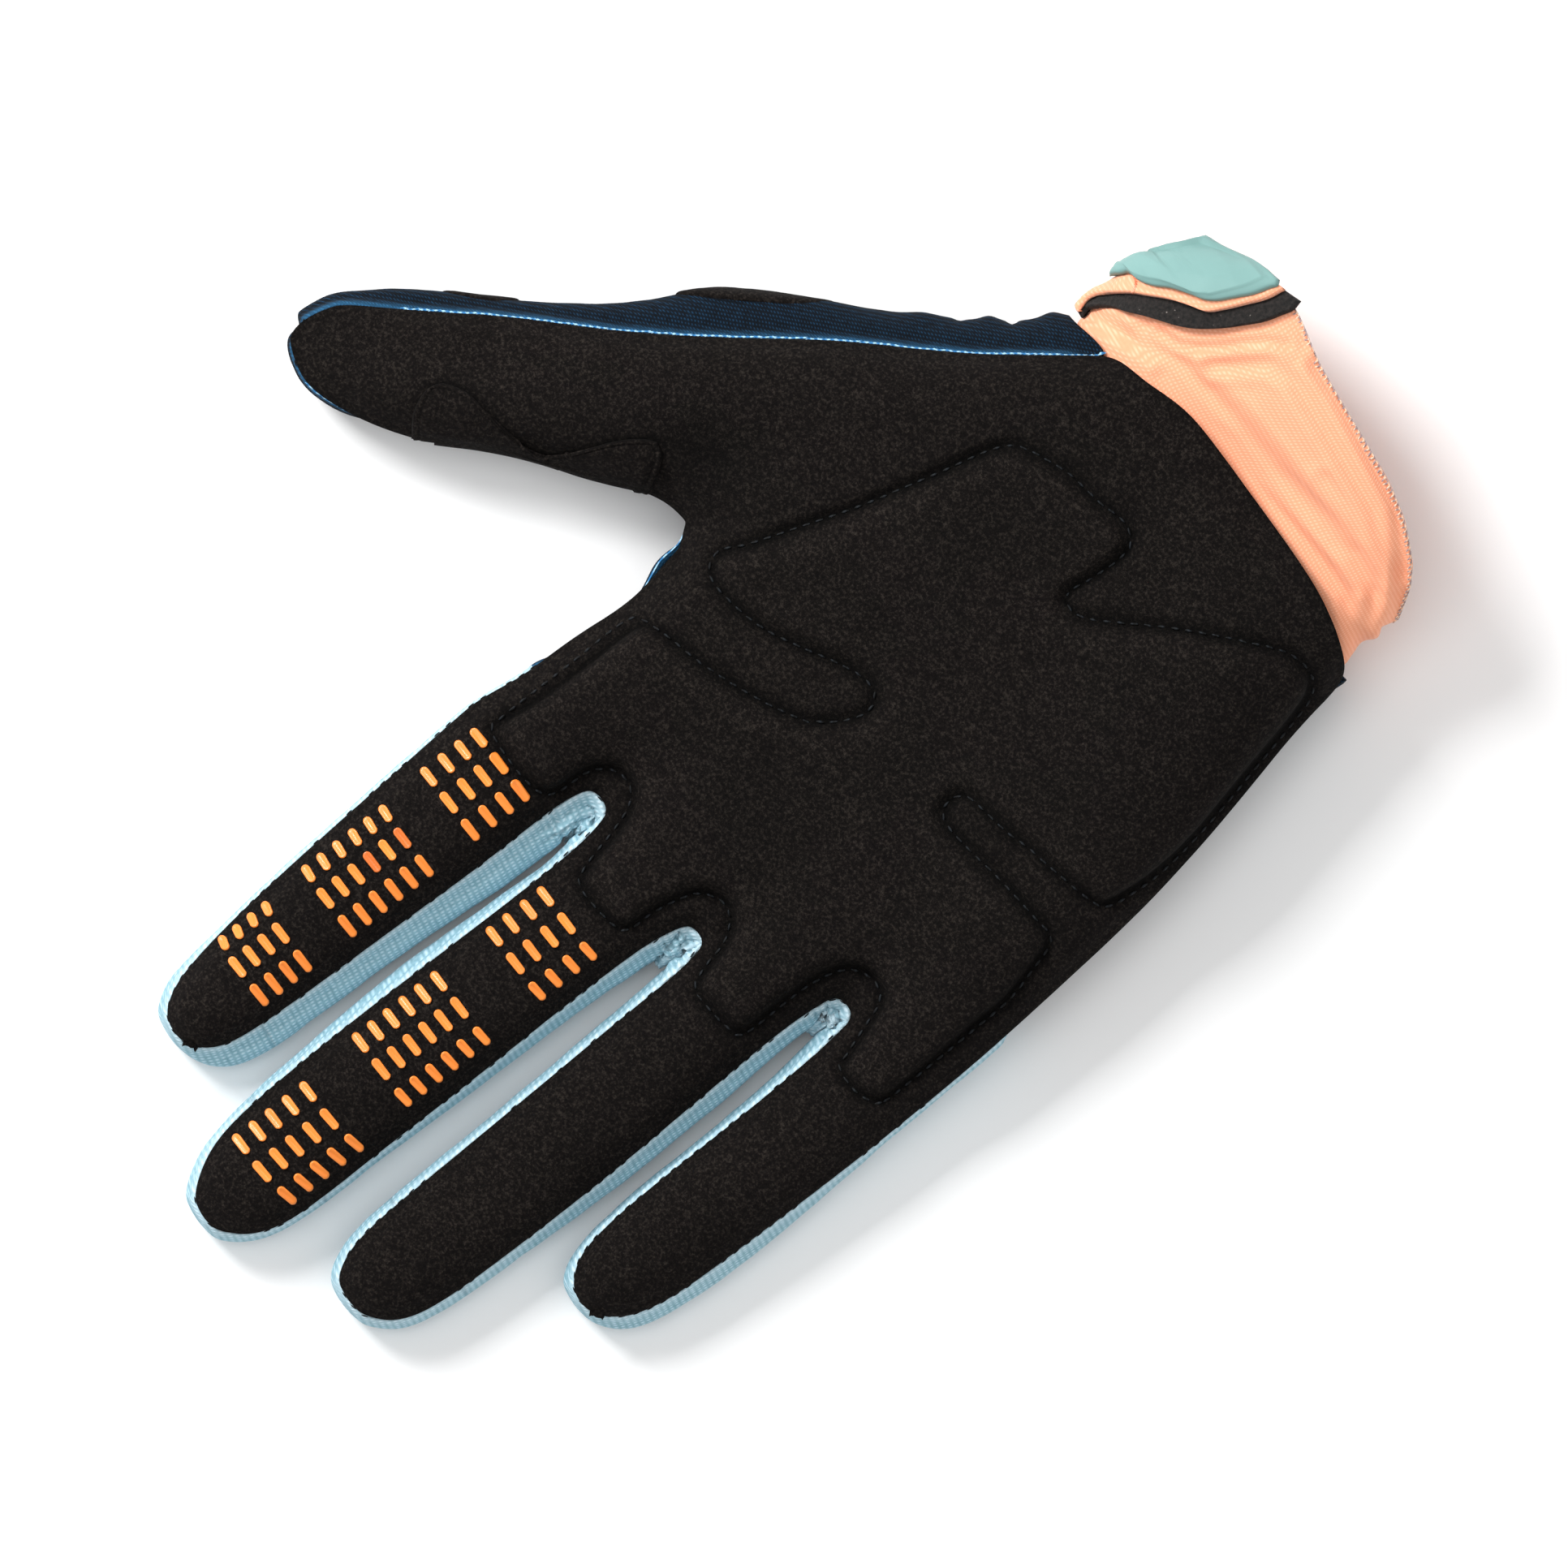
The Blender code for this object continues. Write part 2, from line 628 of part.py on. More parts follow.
def shell_mesh(name, points, normals, quads, thickness):
    """A closed shell from some quads of a larger surface.

    The inside follows the normals of the whole surface, so pieces that meet end squarely.
    Every border vertex moves half a gap into its own piece.
    """
    border = {}
    pairs = {}
    for quad in quads:
        for a, b in zip(quad, quad[1:] + quad[:1]):
            pairs[(a, b)] = True
    for a, b in pairs:
        if (b, a) not in pairs:
            border.setdefault(a, [None, None])[1] = b
            border.setdefault(b, [None, None])[0] = a
    inward = {index: Vector() for index in border}
    for quad in quads:
        centre = sum((points[index] for index in quad), Vector()) / len(quad)
        for index in quad:
            if index in inward:
                inward[index] += centre - points[index]
    order = sorted({index for quad in quads for index in quad})
    number = {index: place for place, index in enumerate(order)}
    outside = []
    for index in order:
        point = points[index].copy()
        if index in border:
            before, after = border[index]
            along = (points[after] - points[before]).normalized()
            shift = inward[index] - along * inward[index].dot(along)
            shift -= normals[index] * shift.dot(normals[index])
            point += shift.normalized() * GAP / 2
            if abs(points[index].z) < 1e-9:
                point.z = 0.0
        outside.append(point)
    inside = [point - normals[index] * thickness for point, index in zip(outside, order)]
    count = len(order)
    faces = [[number[index] for index in quad] for quad in quads]
    faces += [[number[index] + count for index in reversed(quad)] for quad in quads]
    for a, (_before, b) in border.items():
        faces.append([number[b], number[a], number[a] + count, number[b] + count])
    return sheet_mesh(name, outside + inside, faces)


def wrist_loop(grid, heights, points, columns):
    """The open wrist end of the glove as a closed loop of points, from the thumb side up."""
    count = len(FINGERS) * len(ACROSS_FINGER)
    chosen = sorted({0, 1, count - 2, count - 1} | set(range(1, count - 1, 2)))
    top = [Vector((*grid.front[("palm", 0, column)], heights[("palm", 0, column)]))
           for column in chosen]
    bottom = [Vector((*grid.back[("palm", 0, column)], 0.0)) for column in chosen]
    left_wall = [points[index] for index in columns[0]]
    right_wall = [points[index] for index in columns[-1]]
    loop = list(reversed(top)) + left_wall[:-1] + bottom + list(reversed(right_wall[:-1]))
    return loop


def loop_inset(loop, depth):
    """Move a loop of points inwards in the XZ plane."""
    result = []
    for index, point in enumerate(loop):
        before = loop[index - 1]
        after = loop[(index + 1) % len(loop)]
        along = Vector((after.x - before.x, after.z - before.z)).normalized()
        result.append(point + Vector((-along.y, 0, along.x)) * depth)
    return result


class Cuff:
    """The cuff's outer surface, from the wrist's open end to the slanted mouth.

    turn runs round the tube from the thumb side through the palm side, share along it.
    """

    def __init__(self, loop):
        self.middle = Vector((CUFF_MIDDLE * PALM_WIDTH, 0, CUFF_HEIGHT / 2 + CUFF_LIFT))
        self.rim = named(CUFF_RIM, CUFF_COLUMNS)
        inner = loop_inset(loop, CLOTH + GAP + 0.0011)
        flat = [Vector(((point.x - self.middle.x) * 2 / CUFF_WIDTH,
                        (point.z - self.middle.z) * 2 / CUFF_HEIGHT, point.y))
                for point in inner]
        raw = [self.cross(flat, math.tau * index / CUFF_AROUND)
               for index in range(CUFF_AROUND)]
        self.start = [(raw[index - 1] + raw[index] * 2 + raw[(index + 1) % CUFF_AROUND]) / 4
                      for index in range(CUFF_AROUND)]

    @staticmethod
    def cross(flat, turn):
        """Where a ray from the middle meets the loop: its length and the Y there."""
        ray = Vector((math.cos(turn), math.sin(turn)))
        best = Vector((1.0, flat[0].z))
        for index, point in enumerate(flat):
            after = flat[(index + 1) % len(flat)]
            edge = after - point
            base = ray.x * edge.y - ray.y * edge.x
            if abs(base) < 1e-9:
                continue
            length = (point.x * edge.y - point.y * edge.x) / base
            t = (point.x * ray.y - point.y * ray.x) / base
            if length > 0 and -1e-6 <= t <= 1 + 1e-6:
                best = Vector((length, point.z + (after.z - point.z) * t))
        return best

    def first(self, turn):
        """Reach and Y of the wrist end at any turn, on a smooth curve."""
        at = (turn / math.tau * CUFF_AROUND) % CUFF_AROUND
        low = int(at)
        t = at - low
        a, b, c, d = (self.start[(low + step) % CUFF_AROUND] for step in (-1, 0, 1, 2))
        return 0.5 * (2 * b + (c - a) * t + (2 * a - 5 * b + 4 * c - d) * t * t
                      + (3 * b - a - 3 * c + d) * t ** 3)

    def place(self, turn, share):
        """A point of the surface; a negative share is tucked into the hand."""
        reach, level = self.first(turn)
        length = table_value(self.rim, "turn", "reach", math.degrees(turn % math.tau))
        far = -0.535 * PALM_LENGTH - length * CUFF_LENGTH
        blend = ease(share * 1.25)
        mouth = (abs(math.cos(turn)) ** 2.5 + abs(math.sin(turn)) ** 2.5) ** -0.4
        radius = reach + (mouth - reach) * blend
        side = max(0.0, -math.cos(turn))
        radius += 0.020 * side * side * math.sin(share * 4.5 * math.pi + 0.6) * blend
        y = level - 0.0004 + (far - level) * share
        return Vector((self.middle.x + CUFF_WIDTH / 2 * radius * math.cos(turn), y,
                       self.middle.z + CUFF_HEIGHT / 2 * radius * math.sin(turn)))

    def at(self, turn, share):
        """A point and its outward normal."""
        du = self.place(turn + 0.10, share) - self.place(turn - 0.10, share)
        dv = self.place(turn, share + 0.08) - self.place(turn, share - 0.08)
        return self.place(turn, share), du.cross(dv).normalized()


def add_cuff(cuff, collection, material):
    """The cuff tube, open at both ends, its first ring tucked into the hand."""
    shares = [-0.075] + [step / CUFF_STEPS for step in range(CUFF_STEPS + 1)]
    points = [cuff.place(math.tau * column / CUFF_AROUND, share)
              for share in shares for column in range(CUFF_AROUND)]
    faces = []
    for row in range(len(shares) - 1):
        for column in range(CUFF_AROUND):
            a = row * CUFF_AROUND + column
            b = row * CUFF_AROUND + (column + 1) % CUFF_AROUND
            faces.append([a, b, b + CUFF_AROUND, a + CUFF_AROUND])
    item = new_object("cuff", sheet_mesh("cuff", points, faces), collection, material)
    thicken(item, CLOTH)
    return item


def add_wrap(name, cuff, edge, first_row, end, lifts, thickness, collection, material,
             columns):
    """A band that follows the cuff from its palm side edge round the thumb side.

    end is the turn where it stops; lifts holds its height over the cuff on the palm side
    and on the back.
    """
    rows = smooth_rows(named(CLOSURE_ROWS, CLOSURE_COLUMNS)[first_row:], 2)

    def lifted(turn, share):
        point, normal = cuff.at(turn, share)
        back = ease((-turn - math.radians(24.0)) / math.radians(26.0))
        out = Vector((normal.x, 0, normal.z)).normalized()
        return point + out * (lifts[0] + (lifts[1] - lifts[0]) * back)

    grid = []
    for row in rows:
        want = CUFF_MIDDLE * PALM_WIDTH + row[edge] * CUFF_WIDTH
        start = math.pi / 2
        while start > -0.2 and lifted(start, row["along"]).x < want:
            start -= 0.01
        grid.append([lifted(start + (end - start) * column / columns, row["along"])
                     for column in range(columns + 1)])
    width = columns + 1
    points = [point for line in grid for point in line]
    faces = []
    for row in range(len(grid) - 1):
        for column in range(columns):
            a = row * width + column
            faces.append([a, a + width, a + width + 1, a + 1])
    item = new_object(name, sheet_mesh(name, points, faces), collection, material)
    thicken(item, thickness, 1.0)
    return item


def add_patch(grid, front, collection, material):
    """The patch with the wavy edge, raised over the thumb front."""
    tree = BVHTree.FromObject(front, bpy.context.evaluated_depsgraph_get())
    rows = smooth_rows(named(PATCH_ROWS, PATCH_COLUMNS), 2)
    points = []
    across = 4
    for row in rows:
        for column in range(across + 1):
            share = column / across
            side = row["inner"] + 0.035 + (row["wave"] - row["inner"] - 0.035) * share
            spot = thumb_point(row["along"], side)
            hit, normal, _index, _distance = tree.ray_cast(Vector((*spot, 0.1)),
                                                           Vector((0, 0, -1)))
            points.append(hit + normal * 0.00055)
    faces = []
    for row in range(len(rows) - 1):
        for column in range(across):
            a = row * (across + 1) + column
            faces.append([a, a + 1, a + across + 2, a + across + 1])
    item = new_object("thumb_patch", sheet_mesh("thumb_patch", points, faces), collection,
                      material)
    thicken(item, PATCH, 1.0)
    return item


def add_wall_pad(name, points, normals, columns, first, last, collection, material):
    """A pad on the thumb's outer wall, between two places of the outline."""
    size = 2 * int(last - first)
    grid = []
    for place in range(size + 1):
        share = place / size
        half = 0.85 * math.sqrt(max(0.05, 1 - (2 * share - 1) ** 2))
        at = first + (last - first) * share
        before = min(int(at), last - 1)
        pair = (columns[before], columns[before + 1])
        line = []
        for step in range(-2, 3):
            level = 2.15 + half * step / 2
            low = int(level)
            point, normal = (
                values[pair[0][low]].lerp(values[pair[0][low + 1]], level - low).lerp(
                    values[pair[1][low]].lerp(values[pair[1][low + 1]], level - low),
                    at - before)
                for values in (points, normals))
            line.append(point + normal.normalized() * 0.00060)
        grid.append(line)
    flat = [point for line in grid for point in line]
    faces = []
    for row in range(size):
        for step in range(4):
            a = row * 5 + step
            faces.append([a, a + 5, a + 6, a + 1])
    mesh = sheet_mesh(name, flat, faces)
    item = new_object(name, mesh, collection, material)
    thicken(item, PAD, 1.0)
    return item


def main():
    """Build the glove."""
    for item in list(bpy.data.objects):
        bpy.data.objects.remove(item, do_unlink=True)
    collection = bpy.data.collections.new("motocross_glove")
    bpy.context.scene.collection.children.link(collection)
    materials = {}
    for name, (colour, roughness) in FINISHES.items():
        material = bpy.data.materials.new(name)
        material.use_nodes = True
        shader = material.node_tree.nodes["Principled BSDF"]
        shader.inputs["Base Color"].default_value = colour
        shader.inputs["Roughness"].default_value = roughness
        materials[name] = material

    grid = build_grid()
    heights = front_heights(grid)
    front = add_front(grid, heights, collection, materials["black_suede"])
    _parts, points, normals, columns = add_back_parts(grid, collection, materials)
    bpy.context.view_layer.update()
    add_patch(grid, front, collection, materials["black_suede"])
    total = len(columns)
    add_wall_pad("thumb_base_pad", points, normals, columns, total - 12, total - 8, collection,
                 materials["black_suede"])
    add_wall_pad("thumb_knuckle_pad", points, normals, columns, total - 18, total - 16,
                 collection, materials["black_suede"])

    cuff = Cuff(wrist_loop(grid, heights, points, columns))
    add_cuff(cuff, collection, materials["peach_knit"])
    first = GAP + 0.0005
    add_wrap("hook_strip", cuff, "hook", 0, HOOK_END, (first, first), HOOK, collection,
             materials["hook_tape"], 6)
    second = first + HOOK + GAP + 0.0003
    add_wrap("wrist_strap", cuff, "strap", 0, STRAP_END, (second, first), CLOTH,
             collection, materials["peach_knit"], 13)
    third = second + CLOTH + GAP + 0.0006
    add_wrap("pull_tab", cuff, "tab", 3, TAB_END, (third, third), TAB, collection,
             materials["mint_rubber"], 7)


main()
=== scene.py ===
"""Dressed model of a motocross glove for the right hand, lying on its back, palm up.

Row frame, metres: +Y from the wrist to the fingertips, +X to the thumb, +Z up out of the palm.
"""
import logging
import math
from collections.abc import Callable
from dataclasses import dataclass, field
from enum import Enum

import bmesh
import bpy
import numpy as np
from mathutils import Matrix, Vector, noise
from mathutils.bvhtree import BVHTree
from mathutils.kdtree import KDTree


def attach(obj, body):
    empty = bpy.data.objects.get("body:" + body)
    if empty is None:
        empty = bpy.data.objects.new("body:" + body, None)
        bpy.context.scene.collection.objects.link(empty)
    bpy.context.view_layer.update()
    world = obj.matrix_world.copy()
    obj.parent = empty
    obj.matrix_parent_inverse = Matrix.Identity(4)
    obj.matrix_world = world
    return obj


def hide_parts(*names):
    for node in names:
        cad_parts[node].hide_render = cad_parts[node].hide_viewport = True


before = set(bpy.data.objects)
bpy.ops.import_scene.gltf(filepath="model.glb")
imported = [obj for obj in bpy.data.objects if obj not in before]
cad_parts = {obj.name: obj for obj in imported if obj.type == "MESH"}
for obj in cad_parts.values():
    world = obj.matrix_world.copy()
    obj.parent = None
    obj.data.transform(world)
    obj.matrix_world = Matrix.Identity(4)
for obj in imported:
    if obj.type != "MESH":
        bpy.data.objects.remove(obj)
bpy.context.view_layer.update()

MM = 0.001
DOWN = Vector((0, 0, -1))
ABOVE = 0.2
FLOOR_GAP = 0.00004
LOG = logging.getLogger("glove")


# Finishes

def linear(code: str) -> tuple[float, float, float, float]:
    """Turn an sRGB hex colour into linear values.

    Args:
        code: six hex digits, with or without a leading hash.

    Returns:
        Linear red, green and blue, and full opacity.
    """
    digits = code.lstrip("#")
    values = []
    for place in (0, 2, 4):
        share = int(digits[place:place + 2], 16) / 255
        values.append(share / 12.92 if share <= 0.04045 else ((share + 0.055) / 1.055) ** 2.4)
    return values[0], values[1], values[2], 1.0


def add_node(tree: bpy.types.NodeTree, kind: str, settings: dict | None = None,
             values: dict | None = None, links: dict | None = None) -> bpy.types.Node:
    """Add a node with its settings, socket values and incoming links.

    Args:
        tree: the node tree.
        kind: the node's type name.
        settings: attributes of the node; stops fills a colour ramp.
        values: default values by input name or number.
        links: output sockets to join, by input name or number.

    Returns:
        The new node.
    """
    made = tree.nodes.new(kind)
    for key, value in (settings or {}).items():
        if key == "stops":
            ramp = made.color_ramp
            while len(ramp.elements) < len(value):
                ramp.elements.new(0.5)
            for element, (position, colour) in zip(ramp.elements, value):
                element.position = position
                element.color = colour
        else:
            setattr(made, key, value)
    for key, value in (values or {}).items():
        made.inputs[key].default_value = value
    for key, socket in (links or {}).items():
        tree.links.new(socket, made.inputs[key])
    return made


def blank_material(name: str) -> tuple[bpy.types.Material, bpy.types.NodeTree, bpy.types.Node]:
    """Make a material with only its Principled shader.

    Args:
        name: the material's name.

    Returns:
        The material, its node tree and the shader node.
    """
    material = bpy.data.materials.new(name)
    material.use_nodes = True
    tree = material.node_tree
    return material, tree, tree.nodes["Principled BSDF"]


@dataclass(frozen=True)
class Suede:
    """Microfibre suede: a polyurethane cloth whose raised nap looks dull and slightly mottled."""

    name: str = "microfibre_suede"
    dark: str = "#050404"
    middle: str = "#0f0c0b"
    pale: str = "#2f2a26"
    grain_mm: float = 0.3
    patch_mm: float = 1.7

    def make(self) -> bpy.types.Material:
        """Build the material: fine nap grain over soft patches, with painted shade and highlight.
        """
        material, tree, shader = blank_material(self.name)
        place = add_node(tree, "ShaderNodeTexCoord").outputs["Object"]
        grain = add_node(tree, "ShaderNodeTexNoise", None,
                         {"Scale": 1 / (self.grain_mm * MM * 2), "Detail": 5.0,
                          "Roughness": 0.75}, {"Vector": place})
        patch = add_node(tree, "ShaderNodeTexNoise", None,
                         {"Scale": 1 / (self.patch_mm * MM), "Detail": 3.0,
                          "Roughness": 0.6}, {"Vector": place})
        both = add_node(tree, "ShaderNodeMix", {"data_type": "FLOAT"}, {"Factor": 0.16},
                        {"A": grain.outputs["Fac"], "B": patch.outputs["Fac"]})
        colour = add_node(tree, "ShaderNodeValToRGB",
                          {"stops": ((0.34, linear(self.dark)), (0.50, linear(self.middle)),
                                     (0.68, linear(self.pale)))},
                          None, {"Fac": both.outputs["Result"]})
        # Painted shade and highlight: a point attribute set on the palm and the patch scales the
        # colour from 1.75 (painted highlight) down to 0.25 (painted shade); on the palm it also
        # holds random mottling.
        press = add_node(tree, "ShaderNodeAttribute", {"attribute_name": "press"})
        flat = add_node(tree, "ShaderNodeMapRange", None,
                        {"From Min": -1.0, "From Max": 1.0, "To Min": 1.75, "To Max": 0.25},
                        {"Value": press.outputs["Fac"]})
        painted_light_colour = add_node(tree, "ShaderNodeMix", {"data_type": "RGBA",
                                                   "blend_type": "MULTIPLY",
                                                   "clamp_result": False},
                           {"Factor": 1.0},
                           {"A": colour.outputs["Color"], "B": flat.outputs["Result"]})
        bump = add_node(tree, "ShaderNodeBump", None, {"Strength": 0.7, "Distance": 0.2 * MM},
                        {"Height": both.outputs["Result"]})
        tree.links.new(painted_light_colour.outputs["Result"], shader.inputs["Base Color"])
        tree.links.new(bump.outputs["Normal"], shader.inputs["Normal"])
        shader.inputs["Roughness"].default_value = 0.96
        shader.inputs["Specular IOR Level"].default_value = 0.1
        shader.inputs["Sheen Weight"].default_value = 0.03
        shader.inputs["Sheen Roughness"].default_value = 0.5
        shader.inputs["Sheen Tint"].default_value = linear("#6a625b")
        return material


@dataclass(frozen=True)
class Knit:
    """Warp knit polyester: rows of loops, drawn as crossed waves at the loop spacing."""

    name: str
    hollow: str
    thread: str
    crest: str
    course_mm: float = 0.95
    wale_mm: float = 0.85
    turn_degrees: float = 0.0
    relief_mm: float = 0.22
    sheen: float = 0.2
    roughness: float = 0.82
    uneven: float = 0.35
    edge: str = "#ffffff"
    edge_share: float = 0.0
    specular: float = 0.3

    def make(self) -> bpy.types.Material:
        """Build the material: loops, an uneven dye and a thread bump."""
        material, tree, shader = blank_material(self.name)
        coordinates = add_node(tree, "ShaderNodeTexCoord").outputs["Object"]
        turned = add_node(tree, "ShaderNodeMapping", None,
                          {"Rotation": (0.0, 0.0, math.radians(self.turn_degrees))},
                          {"Vector": coordinates})
        wobble = add_node(tree, "ShaderNodeTexNoise", None, {"Scale": 260.0, "Detail": 2.0},
                          {"Vector": coordinates})
        split = add_node(tree, "ShaderNodeSeparateXYZ", None, None,
                         {"Vector": turned.outputs["Vector"]})
        side = add_node(tree, "ShaderNodeMath", {"operation": "ADD"}, None,
                        {0: split.outputs["X"], 1: split.outputs["Z"]})
        waves = []
        for pitch, source, shift in ((self.course_mm, split.outputs["Y"], 0.9),
                                     (self.wale_mm, side.outputs["Value"], 0.6)):
            turns = add_node(tree, "ShaderNodeMath", {"operation": "MULTIPLY_ADD"},
                             {1: math.tau / (pitch * MM)}, {0: source})
            bend = add_node(tree, "ShaderNodeMath", {"operation": "MULTIPLY"}, {1: shift},
                            {0: wobble.outputs["Fac"]})
            tree.links.new(bend.outputs["Value"], turns.inputs[2])
            wave = add_node(tree, "ShaderNodeMath", {"operation": "SINE"}, None,
                            {0: turns.outputs["Value"]})
            waves.append(add_node(tree, "ShaderNodeMath", {"operation": "MULTIPLY_ADD"},
                                  {1: 0.5, 2: 0.5}, {0: wave.outputs["Value"]}))
        loops = add_node(tree, "ShaderNodeMath", {"operation": "MULTIPLY"}, None,
                         {0: waves[0].outputs["Value"], 1: waves[1].outputs["Value"]})
        dye = add_node(tree, "ShaderNodeTexNoise", None,
                       {"Scale": 900.0, "Detail": 4.0, "Roughness": 0.7},
                       {"Vector": coordinates})
        mixed = add_node(tree, "ShaderNodeMix", {"data_type": "FLOAT"}, {"Factor": self.uneven},
                         {"A": loops.outputs["Value"], "B": dye.outputs["Fac"]})
        colour = add_node(tree, "ShaderNodeValToRGB",
                          {"stops": ((0.12, linear(self.hollow)), (0.42, linear(self.thread)),
                                     (0.80, linear(self.crest)))},
                          None, {"Fac": mixed.outputs["Result"]})
        seam = add_node(tree, "ShaderNodeAttribute", {"attribute_name": "seam"})
        spread = add_node(tree, "ShaderNodeMath", {"operation": "MULTIPLY_ADD"},
                          {1: 0.9, 2: 0.25}, {0: mixed.outputs["Result"]})
        amount = add_node(tree, "ShaderNodeMath", {"operation": "MULTIPLY"}, None,
                          {0: seam.outputs["Fac"], 1: spread.outputs["Value"]})
        share = add_node(tree, "ShaderNodeMath", {"operation": "MULTIPLY", "use_clamp": True},
                         {1: self.edge_share}, {0: amount.outputs["Value"]})
        tinted = add_node(tree, "ShaderNodeMix", {"data_type": "RGBA"},
                          {"B": linear(self.edge)},
                          {"Factor": share.outputs["Value"], "A": colour.outputs["Color"]})
        bump = add_node(tree, "ShaderNodeBump", None,
                        {"Strength": 0.6, "Distance": self.relief_mm * MM},
                        {"Height": mixed.outputs["Result"]})
        tree.links.new(tinted.outputs["Result"], shader.inputs["Base Color"])
        tree.links.new(bump.outputs["Normal"], shader.inputs["Normal"])
        shader.inputs["Roughness"].default_value = self.roughness
        shader.inputs["Specular IOR Level"].default_value = self.specular
        shader.inputs["Sheen Weight"].default_value = self.sheen
        shader.inputs["Sheen Roughness"].default_value = 0.4
        return material


@dataclass(frozen=True)
class Moulding:
    """Moulded or printed polymer: even colour with a faint skin texture and a soft gloss."""

    name: str
    colour: str
    deep: str
    roughness: float
    grain_mm: float = 1.4
    relief_mm: float = 0.02
    specular: float = 0.45
    coat: float = 0.0

    def make(self) -> bpy.types.Material:
        """Build the material: cloudy colour and a shallow skin bump."""
        material, tree, shader = blank_material(self.name)
        place = add_node(tree, "ShaderNodeTexCoord").outputs["Object"]
        cloud = add_node(tree, "ShaderNodeTexNoise", None, {"Scale": 110.0, "Detail": 3.0},
                         {"Vector": place})
        skin = add_node(tree, "ShaderNodeTexNoise", None,
                        {"Scale": 1 / (self.grain_mm * MM), "Detail": 3.0}, {"Vector": place})
        tone = add_node(tree, "ShaderNodeAttribute", {"attribute_name": "tone"})
        tint = add_node(tree, "ShaderNodeMath", {"operation": "MULTIPLY_ADD"}, {1: 0.5},
                        {0: cloud.outputs["Fac"], 2: tone.outputs["Fac"]})
        colour = add_node(tree, "ShaderNodeValToRGB",
                          {"stops": ((0.10, linear(self.colour)), (0.85, linear(self.deep)))},
                          None, {"Fac": tint.outputs["Value"]})
        rough = add_node(tree, "ShaderNodeMapRange", None,
                         {"From Min": 0.3, "From Max": 0.7, "To Min": self.roughness - 0.06,
                          "To Max": self.roughness + 0.08}, {"Value": cloud.outputs["Fac"]})
        bump = add_node(tree, "ShaderNodeBump", None,
                        {"Strength": 0.5, "Distance": self.relief_mm * MM},
                        {"Height": skin.outputs["Fac"]})
        tree.links.new(colour.outputs["Color"], shader.inputs["Base Color"])
        tree.links.new(rough.outputs["Result"], shader.inputs["Roughness"])
        tree.links.new(bump.outputs["Normal"], shader.inputs["Normal"])
        shader.inputs["Specular IOR Level"].default_value = self.specular
        shader.inputs["Coat Weight"].default_value = self.coat
        return material


@dataclass(frozen=True)
class Thread:
    """Twisted polyester thread: plies that catch the light along a short diagonal."""

    name: str
    dark: str
    pale: str
    twist_mm: float = 0.7
    specular: float = 0.4

    def make(self) -> bpy.types.Material:
        """Build the material: diagonal plies over an uneven dye."""
        material, tree, shader = blank_material(self.name)
        place = add_node(tree, "ShaderNodeTexCoord").outputs["Object"]
        plies = add_node(tree, "ShaderNodeTexWave", {"bands_direction": "DIAGONAL"},
                         {"Scale": 0.31 / (self.twist_mm * MM), "Distortion": 2.0,
                          "Detail": 2.0}, {"Vector": place})
        colour = add_node(tree, "ShaderNodeValToRGB",
                          {"stops": ((0.2, linear(self.dark)), (0.9, linear(self.pale)))},
                          None, {"Fac": plies.outputs["Fac"]})
        bump = add_node(tree, "ShaderNodeBump", None, {"Strength": 0.5, "Distance": 0.1 * MM},
                        {"Height": plies.outputs["Fac"]})
        tree.links.new(colour.outputs["Color"], shader.inputs["Base Color"])
        tree.links.new(bump.outputs["Normal"], shader.inputs["Normal"])
        shader.inputs["Roughness"].default_value = 0.7
        shader.inputs["Specular IOR Level"].default_value = self.specular
        return material


@dataclass(frozen=True)
class HookTape:
    """Nylon hook tape: black fuzz with pale lint caught in it."""

    name: str = "nylon_hook_tape"
    dark: str = "#0a0908"
    pale: str = "#26211f"
    lint: str = "#8d8580"

    def make(self) -> bpy.types.Material:
        """Build the material: rough fuzz and sparse pale specks."""
        material, tree, shader = blank_material(self.name)
        place = add_node(tree, "ShaderNodeTexCoord").outputs["Object"]
        fuzz = add_node(tree, "ShaderNodeTexNoise", None, {"Scale": 1500.0, "Detail": 4.0},
                        {"Vector": place})
        specks = add_node(tree, "ShaderNodeTexVoronoi", None, {"Scale": 900.0},
                          {"Vector": place})
        base = add_node(tree, "ShaderNodeValToRGB",
                        {"stops": ((0.35, linear(self.dark)), (0.7, linear(self.pale)))},
                        None, {"Fac": fuzz.outputs["Fac"]})
        few = add_node(tree, "ShaderNodeValToRGB",
                       {"stops": ((0.04, (1, 1, 1, 1)), (0.16, (0, 0, 0, 1)))},
                       None, {"Fac": specks.outputs["Distance"]})
        gate = add_node(tree, "ShaderNodeMath", {"operation": "GREATER_THAN"}, {1: 0.56},
                        {0: fuzz.outputs["Fac"]})
        both = add_node(tree, "ShaderNodeMath", {"operation": "MULTIPLY"}, None,
                        {0: few.outputs["Color"], 1: gate.outputs["Value"]})
        colour = add_node(tree, "ShaderNodeMix", {"data_type": "RGBA"},
                          {"B": linear(self.lint)},
                          {"Factor": both.outputs["Value"], "A": base.outputs["Color"]})
        bump = add_node(tree, "ShaderNodeBump", None, {"Strength": 1.0, "Distance": 0.35 * MM},
                        {"Height": fuzz.outputs["Fac"]})
        tree.links.new(colour.outputs["Result"], shader.inputs["Base Color"])
        tree.links.new(bump.outputs["Normal"], shader.inputs["Normal"])
        shader.inputs["Roughness"].default_value = 0.95
        return material


